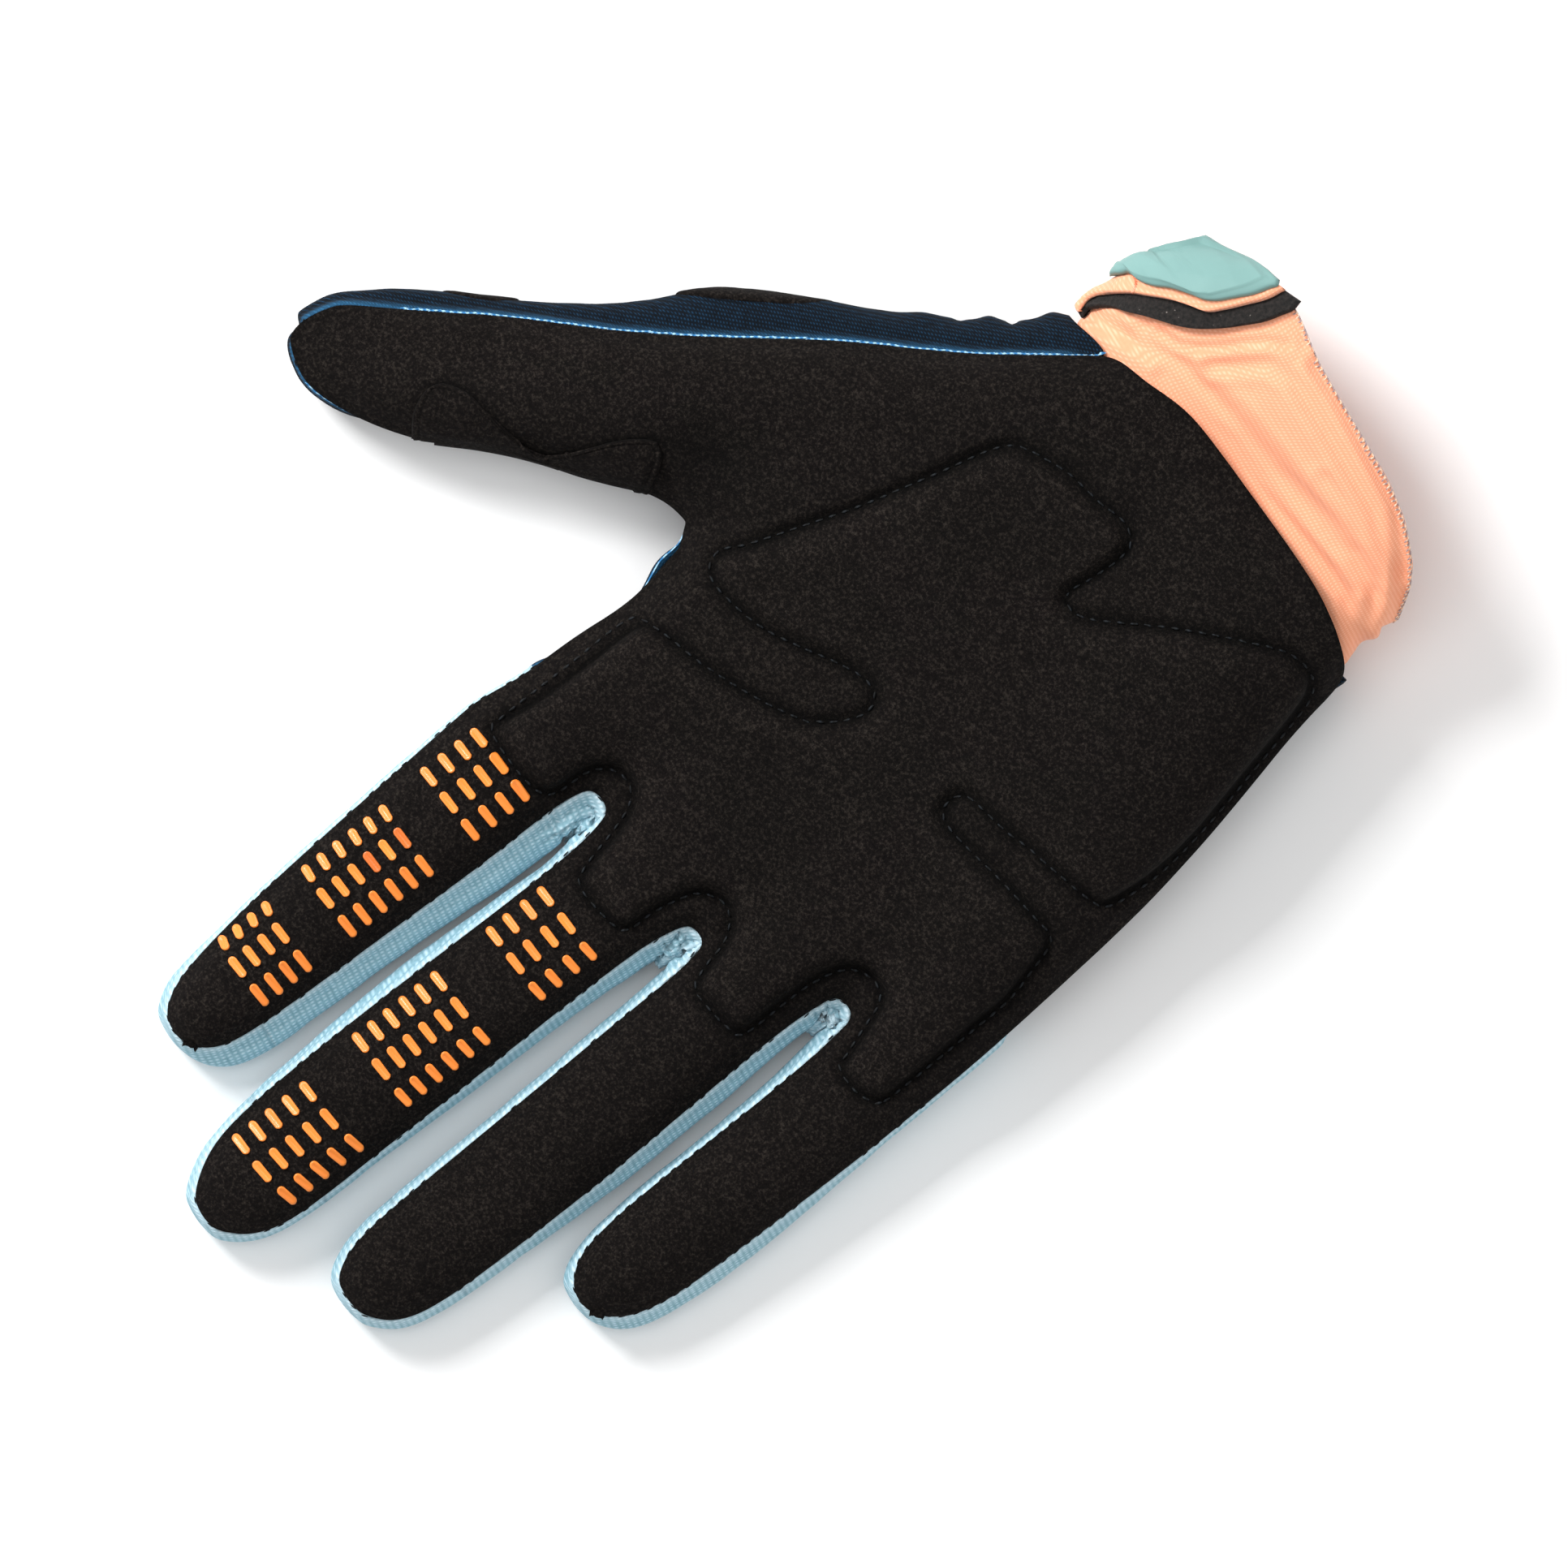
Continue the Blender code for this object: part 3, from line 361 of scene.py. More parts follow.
@dataclass(frozen=True)
class StudioFloor:
    """White painted board: a matt sweep with a barely visible roller texture."""

    name: str = "white_board"
    colour: str = "#fbfbfb"

    def make(self) -> bpy.types.Material:
        """Build the material: almost even white."""
        material, tree, shader = blank_material(self.name)
        place = add_node(tree, "ShaderNodeTexCoord").outputs["Object"]
        cloud = add_node(tree, "ShaderNodeTexNoise", None, {"Scale": 6.0, "Detail": 2.0},
                         {"Vector": place})
        colour = add_node(tree, "ShaderNodeValToRGB",
                          {"stops": ((0.0, linear("#f6f6f6")), (1.0, linear(self.colour)))},
                          None, {"Fac": cloud.outputs["Fac"]})
        tree.links.new(colour.outputs["Color"], shader.inputs["Base Color"])
        shader.inputs["Roughness"].default_value = 0.9
        return material


class Cloth(Enum):
    """The finishes that the glove's pieces choose from."""

    SUEDE = Suede()
    NAVY = Knit("navy_knit_mesh", "#030507", "#08121c", "#163852", 0.70, 0.52, -41.0, 0.35,
                0.0, 0.9, 0.62, "#3f83b4", 0.6, 0.12)
    BLUE = Knit("light_blue_knit", "#6f9aa8", "#9cc2d0", "#c3dde8", 1.15, 0.95, 12.0, 0.3,
                0.1, 0.85, 0.5, "#d3e6ef", 0.9)
    PEACH = Knit("peach_stretch_knit", "#f4a27d", "#fcae8a", "#ffbd9c", 0.75, 0.62, 8.0, 0.09,
                 0.15, 0.85, 0.3)
    HOOK = HookTape()
    MINT = Moulding("mint_rubber", "#7ba29e", "#6f918e", 0.6, specular=0.25)
    SILICONE = Moulding("orange_silicone", "#ff9030", "#d5691b", 0.38, 0.8, 0.03, 0.5, 0.1)
    THREAD = Thread("dark_navy_thread", "#040506", "#15191d", specular=0.25)
    PALE_THREAD = Thread("pale_blue_thread", "#2f7db8", "#a9d8f5", 0.9)
    OVERLOCK = Thread("tan_overlock_thread", "#a08c8c", "#efcdb2")
    CORAL_THREAD = Thread("coral_thread", "#d9744f", "#ffb595")
    FLOOR = StudioFloor()


MATERIALS: dict[Cloth, bpy.types.Material] = {}


def finish(choice: Cloth) -> bpy.types.Material:
    """Give the material of a finish, made once."""
    if choice not in MATERIALS:
        MATERIALS[choice] = choice.value.make()
    return MATERIALS[choice]


# Mesh helpers

def catmull(points: list[Vector], step: float, closed: bool = False) -> list[Vector]:
    """Resample a smooth curve through points at an even step.

    Args:
        points: the points that the curve passes.
        step: wanted spacing.
        closed: whether the curve returns to its start.

    Returns:
        Evenly spaced points.
    """
    count = len(points)
    dense: list[Vector] = []
    spans = count if closed else count - 1
    for index in range(spans):
        if closed:
            a, b, c, d = (points[(index + shift) % count] for shift in (-1, 0, 1, 2))
        else:
            a, b = points[max(index - 1, 0)], points[index]
            c, d = points[index + 1], points[min(index + 2, count - 1)]
        for part in range(8):
            t = part / 8
            dense.append(0.5 * (2 * b + (c - a) * t + (2 * a - 5 * b + 4 * c - d) * t * t
                                + (3 * b - a - 3 * c + d) * t ** 3))
    dense.append(points[0].copy() if closed else points[-1].copy())
    lengths = [0.0]
    for before, after in zip(dense, dense[1:]):
        lengths.append(lengths[-1] + (after - before).length)
    wanted = max(2, round(lengths[-1] / step))
    result = []
    place = 0
    for index in range(wanted if closed else wanted + 1):
        target = lengths[-1] * index / wanted
        while place < len(lengths) - 2 and lengths[place + 1] < target:
            place += 1
        share = (target - lengths[place]) / max(lengths[place + 1] - lengths[place], 1e-9)
        result.append(dense[place].lerp(dense[place + 1], share))
    return result


def route_of(places: tuple[tuple[float, float], ...], step: float,
             closed: bool = False) -> list[Vector]:
    """Give a smooth flat route through places in millimetres.

    Args:
        places: X and Y along it.
        step: wanted spacing, in metres.
        closed: whether it returns to its start.

    Returns:
        Evenly spaced points on the plane Z = 0.
    """
    return catmull([Vector((x * MM, y * MM, 0)) for x, y in places], step, closed)


def ease(value: np.ndarray | float) -> np.ndarray | float:
    """Smooth step of a value from 0 to 1."""
    share = np.clip(value, 0.0, 1.0)
    return share * share * (3 - 2 * share)


def edge_fit(points: np.ndarray) -> np.ndarray:
    """Draw the index side of the palm in below the thumb crotch, as the sewn edge pulls it."""
    x, y = points[:, 0] / MM, points[:, 1] / MM
    weight = ease((x - 34) / 8) * (1 - ease((x - 47.6) / 1.5))
    weight *= ease((y - 13) / 4) * (1 - ease((y - 50) / 14))
    moved = points.copy()
    moved[:, 0] -= 1.7 * MM * weight
    return moved


# Thumb side of the cuff, millimetres: way down from the hand, and how far it is moved out
SWELL_AT = (61, 62.5, 64, 66, 68, 70, 72, 76, 78.6, 82.3, 84.3, 86.3, 88.3, 90.3, 92.3, 94.3, 100)
SWELL = (0, 0.9, 1.4, 2.1, 2.7, 2.9, 2.3, 2.3, 1.6, 1.3, 0.8, 0.0, -1.0, -2.1, -3.1, -3.9, -6.4)


def cuff_fit(points: np.ndarray) -> np.ndarray:
    """Gather the cuff at its mouth and fill its thumb side out, as the worn knit lies."""
    x, y = points[:, 0] / MM, points[:, 1] / MM
    little = ease((-28 - x) / 12)
    thumb = ease((x - 12) / 17)
    moved = points.copy()
    shift = (3.0 - 1.3 * ease(x / 12)) * ease((-67 - y) / 16)
    swell = np.interp(-(y + shift), SWELL_AT, SWELL)
    pull = ease((-78 - y) / 6) - 0.6 * ease((-66 - y) / 5) * (1 - ease((-76 - y) / 5))
    moved[:, 1] += shift * MM
    moved[:, 0] += (swell * thumb + little * pull) * MM
    return moved


def thumb_side(points: np.ndarray) -> np.ndarray:
    """How far each point lies to the outer side of the thumb's middle line."""
    return (points[:, 0] - 46.5 * MM) * 0.656 - (points[:, 1] - 12.5 * MM) * 0.755


def chain_of(mesh: bpy.types.Mesh, wanted: Callable[[Vector], bool]) -> list[Vector]:
    """Walk once round a mesh's open border.

    Args:
        mesh: the mesh.
        wanted: tells whether a border place may start the walk.

    Returns:
        The border's places in order.
    """
    shape = bmesh.new()
    shape.from_mesh(mesh)
    corner = next(corner for corner in shape.verts if corner.is_boundary and wanted(corner.co))
    edge = next(edge for edge in corner.link_edges if edge.is_boundary)
    used = set()
    places = []
    while edge is not None:
        used.add(edge)
        places.append(corner.co.copy())
        corner = edge.other_vert(corner)
        edge = next((other for other in corner.link_edges
                     if other.is_boundary and other not in used), None)
    shape.free()
    return places


def line_distance(points: np.ndarray, line: np.ndarray, closed: bool) -> np.ndarray:
    """Distance of many points to a polyline in the same space.

    Args:
        points: N by k array.
        line: M by k array.
        closed: whether the line returns to its start.

    Returns:
        N distances.
    """
    starts = line if closed else line[:-1]
    ends = np.roll(line, -1, axis=0) if closed else line[1:]
    best = np.full(len(points), 1e9)
    for a, b in zip(starts, ends):
        along = b - a
        size = float(along @ along) or 1e-12
        t = np.clip((points - a) @ along / size, 0, 1)
        gap = points - (a + t[:, None] * along)
        np.minimum(best, np.einsum("ij,ij->i", gap, gap), out=best)
    return np.sqrt(best)


def inside(points: np.ndarray, outline: np.ndarray) -> np.ndarray:
    """Tell which XY points lie inside a closed outline."""
    result = np.zeros(len(points), bool)
    for a, b in zip(outline, np.roll(outline, -1, axis=0)):
        crosses = (a[1] > points[:, 1]) != (b[1] > points[:, 1])
        level = a[0] + (points[:, 1] - a[1]) / ((b[1] - a[1]) or 1e-12) * (b[0] - a[0])
        result ^= crosses & (points[:, 0] < level)
    return result


def fractal(points: np.ndarray, size: float, seed: float = 0.0) -> np.ndarray:
    """Smooth noise between about -1 and 1 at many points, with features of a given size."""
    shift = Vector((seed, seed * 0.7, -seed))
    return np.array([noise.fractal(Vector(point) / size + shift, 1.0, 2.0, 2)
                     for point in points])


def node_copy(name: str, join: bool = True) -> bmesh.types.BMesh:
    """Copy a CAD node into a bmesh and merge its corners.

    Args:
        name: the node.
        join: whether its triangles are joined into quads.

    Returns:
        The copy.
    """
    shape = bmesh.new()
    shape.from_mesh(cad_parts[name].data)
    bmesh.ops.remove_doubles(shape, verts=shape.verts, dist=2e-6)
    if join:
        join_quads(shape)
    shape.normal_update()
    return shape


def join_quads(shape: bmesh.types.BMesh) -> None:
    """Join a mesh's triangles into quads wherever two make a fair one."""
    bmesh.ops.join_triangles(shape, faces=shape.faces, angle_face_threshold=math.radians(60),
                             angle_shape_threshold=math.radians(75))


def outer_skin(name: str, *scores: Callable[[bmesh.types.BMFace], float],
               sure: Callable[[bmesh.types.BMFace], bool] | None = None) -> bmesh.types.BMesh:
    """Copy one skin of a shell: its rim faces are those with no far side close behind.

    Args:
        name: the node.
        scores: each gives every face a score; the best one lies on the wanted skin.
        sure: tells which faces with an even wall behind them lie on the skin as well.

    Returns:
        The skin as an open surface of quads.
    """
    shape = node_copy(name, False)
    tree = BVHTree.FromBMesh(shape)
    found = {max(shape.faces, key=score) for score in scores}
    rim = set()
    for face in shape.faces:
        middle = face.calc_center_median()
        for spot in [middle] + [middle.lerp(corner.co, 0.7) for corner in face.verts]:
            _place, across, _index, depth = tree.ray_cast(spot - face.normal * 0.01 * MM,
                                                          -face.normal, 2.2 * MM)
            if across is not None and across.dot(face.normal) < -0.6:
                even = across.dot(face.normal) < -0.97 and depth > 0.8 * MM
                if sure and even and sure(face):
                    found.add(face)
                break
        else:
            rim.add(face)
    queue = list(found)
    while queue:
        face = queue.pop()
        for edge in face.edges:
            for other in edge.link_faces:
                if other in found or other in rim or face.normal.dot(other.normal) < 0.25:
                    continue
                found.add(other)
                queue.append(other)
    rest = [face for face in shape.faces if face not in found]
    bmesh.ops.delete(shape, geom=rest, context="FACES")
    join_quads(shape)
    shape.normal_update()
    return shape


def to_mesh(shape: bmesh.types.BMesh, name: str) -> bpy.types.Mesh:
    """Turn a bmesh into a smooth shaded mesh and free it."""
    mesh = bpy.data.meshes.new(name)
    for face in shape.faces:
        face.smooth = True
    shape.to_mesh(mesh)
    shape.free()
    return mesh


def tree_of(mesh: bpy.types.Mesh) -> BVHTree:
    """Give a search tree of a mesh's faces."""
    return BVHTree.FromPolygons([corner.co.copy() for corner in mesh.vertices],
                                [tuple(face.vertices) for face in mesh.polygons])


def face_outwards(shape: bmesh.types.BMesh) -> None:
    """Turn the normals of an open sheet so that its highest face looks up."""
    bmesh.ops.recalc_face_normals(shape, faces=shape.faces)
    if max(shape.faces, key=lambda face: face.calc_center_median().z).normal.z < 0:
        bmesh.ops.reverse_faces(shape, faces=shape.faces)


def rounded(mesh: bpy.types.Mesh, levels: int) -> bpy.types.Mesh:
    """Give a finer mesh that follows the smooth surface of a cage.

    Args:
        mesh: the cage.
        levels: how often each face is divided.

    Returns:
        A new mesh with the subdivision applied.
    """
    carrier = bpy.data.objects.new("carrier", mesh)
    bpy.context.scene.collection.objects.link(carrier)
    smooth = carrier.modifiers.new("Smooth", "SUBSURF")
    smooth.levels = levels
    smooth.render_levels = levels
    view = bpy.context.evaluated_depsgraph_get()
    result = bpy.data.meshes.new_from_object(carrier.evaluated_get(view))
    bpy.data.objects.remove(carrier, do_unlink=True)
    return result


def read_points(mesh: bpy.types.Mesh) -> tuple[np.ndarray, np.ndarray]:
    """Read a mesh's corner places and normals as arrays."""
    count = len(mesh.vertices)
    points = np.zeros(count * 3)
    normals = np.zeros(count * 3)
    mesh.vertices.foreach_get("co", points)
    mesh.vertices.foreach_get("normal", normals)
    return points.reshape(-1, 3), normals.reshape(-1, 3)


def write_points(mesh: bpy.types.Mesh, points: np.ndarray) -> None:
    """Write a mesh's corner places back."""
    mesh.vertices.foreach_set("co", points.astype(np.float32).ravel())
    mesh.update()


def border_points(mesh: bpy.types.Mesh) -> np.ndarray:
    """Places of a mesh's open border."""
    shape = bmesh.new()
    shape.from_mesh(mesh)
    places = [tuple(corner.co) for corner in shape.verts if corner.is_boundary]
    shape.free()
    return np.array(places)


def near_distance(points: np.ndarray, others: np.ndarray, reach: float) -> np.ndarray:
    """Distance of many points to the nearest of some others, no more than a reach."""
    tree = KDTree(len(others))
    for index, place in enumerate(others):
        tree.insert(place, index)
    tree.balance()
    return np.array([min(tree.find(point)[2], reach) for point in points])


def rim_heights(points: np.ndarray, rim: np.ndarray) -> np.ndarray:
    """Height of the sewn rim nearest to each point, seen from above."""
    tree = KDTree(len(rim))
    for index, place in enumerate(rim):
        tree.insert((place[0], place[1], 0.0), index)
    tree.balance()
    found = [rim[tree.find((point[0], point[1], 0.0))[1]][2] for point in points]
    return np.maximum(found, 1 * MM)


def add_piece(name: str, mesh: bpy.types.Mesh, choice: Cloth,
              nodes: tuple[str, ...] = (), wall: float = 0.0) -> bpy.types.Object:
    """Make a piece of the glove from a mesh and let it ride on the root.

    Args:
        name: the piece's name.
        mesh: its mesh, in the row frame.
        choice: its finish.
        nodes: CAD nodes that the piece stands for.
        wall: thickness given to an open skin, inwards.

    Returns:
        The piece's object.
    """
    piece = bpy.data.objects.new(name, mesh)
    bpy.context.scene.collection.objects.link(piece)
    mesh.materials.clear()
    mesh.materials.append(finish(choice))
    if wall:
        solid = piece.modifiers.new("Wall", "SOLIDIFY")
        solid.thickness = wall
        solid.offset = -1.0
    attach(piece, "root")
    if nodes:
        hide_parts(*nodes)
    LOG.info("%s: %d faces", name, len(mesh.polygons))
    return piece


# Stitched pad outline on the palm, in millimetres, once round from the little finger's side
PAD_ROUTE = (
    (-54.4, 47.5), (-54.4, 40), (-54.1, 27.5), (-53.8, 20), (-52.3, 13.8), (-50, 7.5), (-45, 7.3),
    (-35, 8.1), (-30, 8.8), (-23.8, 9.4), (-21, 8.8), (-19.8, 6.9), (-20.3, 4.4), (-22.5, 3.1),
    (-30, 1.9), (-35, 0.6), (-41.3, -0.6), (-48.8, -2.3), (-51.3, -3.8), (-52.3, -8.1),
    (-52.5, -16.3), (-50.8, -28), (-48.2, -40), (-46, -50), (-44.4, -55), (-41.3, -57.3),
    (-36.3, -56.5), (-30, -51.9), (-20, -43.1), (-12.5, -35.3), (-8.8, -31.9), (-5.6, -31),
    (-3.8, -32.5), (-4.3, -37.5), (-4.6, -42.5), (-3.8, -46.3), (0, -47.8), (5, -46.6),
    (12.5, -45.4), (20, -42.5), (23.1, -40), (25, -35), (26.5, -28.8), (28.8, -20), (31.3, -11.3),
    (35, -0.6), (37.5, 6.3), (39.8, 11.3), (38.1, 14.8), (33.8, 15.5), (25, 13.8), (17.5, 10.3),
    (11.3, 6.9), (6.3, 5), (3.1, 5.3), (1.5, 8.1), (2.8, 12.5), (5.6, 16.3), (7.5, 18.1),
    (15, 21.9), (25, 25.6), (35, 28.1), (39.4, 30), (40.4, 33.8), (40.3, 45), (40.3, 60),
    (38.8, 62.5), (32.5, 63.1), (26.3, 62.5), (24, 60), (23.5, 53.8), (21.9, 50.6), (19.4, 49.1),
    (16.3, 49.4), (14, 51.9), (12.5, 56.3), (11, 62.5), (9.4, 66.3), (6.3, 67.1), (0, 66.6),
    (-2.8, 65), (-3.1, 60), (-4, 55), (-5.6, 51), (-9.4, 48.8), (-12.5, 49.8), (-15, 53.1),
    (-16.3, 58.1), (-18.1, 61.9), (-22.5, 62.3), (-28.8, 61.3), (-30, 58.8), (-30, 47.5),
    (-31, 41.3), (-33.1, 37.8), (-36.9, 36.4), (-40, 37.8), (-41.9, 42.5), (-43.8, 48.1),
    (-45, 50.6), (-50, 50.9), (-53.5, 49.4),
)


@dataclass
class PalmPanel:
    """The suede palm with its finger fronts, sewn pads and flex channels."""

    wall: float = 1.1 * MM
    puff: float = 1.3 * MM
    groove: float = 1.15 * MM
    groove_width: float = 1.2 * MM
    crease: float = 0.45 * MM
    stitch_step: float = 2.4 * MM
    stitch_length: float = 1.5 * MM
    stitch_width: float = 0.5 * MM
    # Hollow at the thumb's root, X and Y in millimetres
    DENT = (54.8, 3.6)
    route: list[Vector] = field(default_factory=list)
    tree: BVHTree | None = None
    mesh: bpy.types.Mesh | None = None

    def build(self) -> None:
        """Build the panel and its stitches."""
        shape = outer_skin("palm_panel", lambda face: face.calc_center_median().z)
        bmesh.ops.smooth_vert(shape, verts=[corner for corner in shape.verts
                                            if not corner.is_boundary],
                              factor=0.5, use_axis_x=False, use_axis_y=False, use_axis_z=True)
        mesh = rounded(to_mesh(shape, "palm_panel_cage"), 3)
        self.route = route_of(PAD_ROUTE, self.stitch_step / 3, True)
        self.relief(mesh)
        self.tree = tree_of(mesh)
        add_piece("palm_suede", mesh, Cloth.SUEDE, ("palm_panel",), self.wall)
        self.mesh = mesh
        self.stitches()

    def relief(self, mesh: bpy.types.Mesh) -> None:
        """Raise pads, sink seams, add worn suede's soft wrinkles, store painted shade and
        highlight.

        Args:
            mesh: the panel's skin, which is changed.
        """
        points, normals = read_points(mesh)
        flat = points[:, :2]
        line = np.array([(point.x, point.y) for point in self.route])
        away = line_distance(flat, line, True)
        padded = inside(flat, line)
        lift = np.where(padded, self.puff * (1 - np.exp(-(away / (2.4 * MM)) ** 1.5)),
                        0.25 * self.puff * (1 - np.exp(-away / (3 * MM))))
        lift -= self.groove * np.exp(-(away / self.groove_width) ** 2)
        rim = border_points(mesh)
        edge = near_distance(points, rim, 12 * MM)
        calm = np.clip(edge / (6 * MM), 0, 1)
        lift += self.crease * fractal(points, 16 * MM) * calm
        lift += 0.10 * MM * fractal(points, 4.5 * MM, 3.1) * calm
        lift -= 0.16 * MM * np.exp(-((edge - 1.9 * MM) / (0.7 * MM)) ** 2)
        dent = np.array(self.DENT) * MM
        along = (flat - dent) @ np.array((0.754, 0.657))
        across = (flat - dent) @ np.array((0.657, -0.754))
        lift -= 1.5 * MM * np.exp(-(along / (9 * MM)) ** 2 - (across / (5 * MM)) ** 2)
        # Painted shade in the stitched grooves, painted highlight on the pads beside them and
        # painted shade in the hollow at the thumb's root.
        press = np.exp(-(away / (0.8 * MM)) ** 2) + 0.35 * np.exp(-(away / (2.2 * MM)) ** 2)
        press -= 0.30 * np.exp(-((away - 3.4 * MM) / (1.8 * MM)) ** 2) * padded
        press += 0.75 * np.exp(-(along / (8 * MM)) ** 2 - (across / (5 * MM)) ** 2)
        # Painted shadow beside the wavy patch's edge, random mottling from the large fractal, and
        # painted shade along the panel's border.
        wave = route_of(WavyPatch.WAVE, 1 * MM)
        gap = line_distance(flat, np.array([(spot.x, spot.y) for spot in wave]), False)
        press += 0.9 * np.exp(-(gap / (0.9 * MM)) ** 2)
        press += 0.25 * fractal(points, 24 * MM, 1.7)
        press += 0.5 * np.exp(-(edge / (0.6 * MM)) ** 2)
        shade = mesh.attributes.new("press", "FLOAT", "POINT")
        shade.data.foreach_set("value", np.clip(press, -1, 1).astype(np.float32))
        points = edge_fit(points + normals * lift[:, None])
        wrist = np.exp(-((points[:, 0] - 17 * MM) / (7 * MM)) ** 2)
        points[:, 1] += 1.2 * MM * wrist * ease((-56 * MM - points[:, 1]) / (8 * MM))
        write_points(mesh, points)

    def drop(self, x: float, y: float) -> tuple[Vector, Vector]:
        """Find the panel's surface below a point.

        Args:
            x: place across.
            y: place along.

        Returns:
            The place and the surface normal there.
        """
        hit, normal, _index, _distance = self.tree.ray_cast(Vector((x, y, ABOVE)), DOWN)
        if hit is None:
            hit, normal, _index, _distance = self.tree.find_nearest(Vector((x, y, 0.02)))
        return hit, normal if normal.z > 0 else -normal

    def stitches(self) -> None:
        """Sew the pad outline with short dark stitches."""
        shape = bmesh.new()
        count = len(self.route)
        for index in range(0, count - 1, 3):
            spot = self.route[index]
            ahead = self.route[(index + 1) % count]
            place, normal = self.drop(spot.x, spot.y)
            further, _normal = self.drop(ahead.x, ahead.y)
            add_stitch(shape, place + normal * 0.08 * MM, further - place, normal,
                       self.stitch_length, self.stitch_width)
        add_piece("pad_stitches", to_mesh(shape, "pad_stitches"), Cloth.THREAD)


def add_stitch(shape: bmesh.types.BMesh, place: Vector, along: Vector, normal: Vector,
               length: float, width: float) -> None:
    """Add one stitch: a short thread that dips at both ends.

    Args:
        shape: the bmesh that collects the stitches.
        place: the stitch's middle.
        along: its direction.
        normal: the surface normal there.
        length: its length.
        width: its thickness.
    """
    forward = (along - normal * along.dot(normal)).normalized()
    side = normal.cross(forward)
    turn = Matrix((forward, side, normal)).transposed().to_4x4()
    made = bmesh.ops.create_uvsphere(shape, u_segments=6, v_segments=5, radius=0.5)
    stretch = Matrix.Diagonal((length, width, width * 0.8, 1.0))
    upright = Matrix.Rotation(math.pi / 2, 4, "Y")
    bmesh.ops.transform(shape, matrix=Matrix.Translation(place) @ turn @ stretch @ upright,
                        verts=made["verts"])


@dataclass
class GripBars:
    """Printed silicone bars on the middle and index fingers.

    Each group: rows of Y in millimetres, then columns of X, length, lean and shift of Y.
    """

    width: float = 1.55 * MM
    height: float = 0.42 * MM

    GROUPS = (
        ((141.9, 138.2, 134.6, 130.8, 126.9),
         ((-2.6, 3.9, 0.20, -0.8), (3.3, 4.4, 0.04, 0.0), (9.3, 4.0, 0.0, 0.0))),
        ((114.3, 110.9, 107.4, 103.9, 100.4, 96.8),
         ((-1.6, 3.8, 0.08, 0.0), (4.6, 4.4, 0.0, 0.0), (10.4, 3.9, 0.0, 0.0))),
        ((84.2, 80.5, 76.6, 72.8),
         ((-1.4, 3.8, 0.08, 0.0), (4.7, 4.4, 0.0, 0.0), (10.6, 3.9, 0.0, 0.0))),
        ((123.2, 120.0, 116.7, 113.5),
         ((28.2, 4.4, 0.0, 0.0), (34.3, 4.2, 0.0, 0.0), (39.1, 2.6, -0.25, -0.7))),
        ((103.5, 100.1, 96.6, 93.1, 89.7, 86.3),
         ((28.2, 4.4, 0.0, 0.0), (34.3, 4.2, 0.0, 0.0), (39.5, 3.2, -0.1, -0.3))),
        ((76.0, 72.1, 68.4, 64.9),
         ((28.2, 4.4, 0.0, 0.0), (34.2, 4.4, 0.0, 0.0), (39.9, 3.9, 0.0, 0.0))),
    )
    TONES = {(4, 1, 3): 0.75, (4, 1, 5): 0.6, (4, 1, 4): -0.55}

    def build(self, palm: PalmPanel) -> None:
        """Print the bars on the palm panel's surface.

        Args:
            palm: the finished panel.
        """
        shape = bmesh.new()
        tone_layer = shape.verts.layers.float.new("tone")
        for group, (rows, columns) in enumerate(self.GROUPS):
            for column, (x, length, lean, shift) in enumerate(columns):
                for row, y in enumerate(rows):
                    tone = self.TONES.get((group, column, row), 0.0)
                    tone += 0.09 * noise.noise(Vector((x, y, 0.3)) * 0.21)
                    self.bar(shape, palm, x * MM, (y + shift) * MM, length * MM, lean, tone,
                             tone_layer)
        add_piece("grip_bars", to_mesh(shape, "grip_bars"), Cloth.SILICONE)

    def bar(self, shape: bmesh.types.BMesh, palm: PalmPanel, x: float, y: float, length: float,
            lean: float, tone: float, layer: object) -> None:
        """Print one rounded bar.

        Args:
            shape: the bmesh that collects the bars.
            palm: the panel that carries them.
            x: its middle across.
            y: its middle along.
            length: its length.
            lean: its turn in radians.
            tone: how much deeper its colour is.
            layer: the vertex layer for the tone.
        """
        made = bmesh.ops.create_circle(shape, cap_ends=True, segments=16,
                                       radius=self.width / 2)["verts"]
        half = max(0.0, (length - self.width) / 2)
        for corner in made:
            corner.co.x += math.copysign(half, corner.co.x)
        base = list({face for corner in made for face in corner.link_faces})
        raised = bmesh.ops.extrude_face_region(shape, geom=base)["geom"]
        top = [item for item in raised if isinstance(item, bmesh.types.BMFace)]
        corners = [item for item in raised if isinstance(item, bmesh.types.BMVert)]
        bmesh.ops.delete(shape, geom=[face for face in base if face.is_valid],
                         context="FACES_ONLY")
        for _ring in range(2):
            bmesh.ops.inset_region(shape, faces=top, thickness=self.width * 0.16)
        summit = {corner for face in top if face.is_valid for corner in face.verts}
        everything = set(made)
        queue = list(made)
        while queue:
            for edge in queue.pop().link_edges:
                for corner in edge.verts:
                    if corner not in everything:
                        everything.add(corner)
                        queue.append(corner)
        bottom = set(made)
        rise = set(corners)
        for corner in everything:
            spot = corner.co.copy()
            turned = Vector((spot.x * math.cos(lean) - spot.y * math.sin(lean),
                             spot.x * math.sin(lean) + spot.y * math.cos(lean)))
            place, normal = palm.drop(x + turned.x, y + turned.y)
            if corner in bottom:
                level = -0.12 * MM
            elif corner in rise:
                level = self.height * 0.55
            elif corner in summit:
                level = self.height
            else:
                level = self.height * 0.88
            corner.co = place + normal * level
            corner[layer] = tone


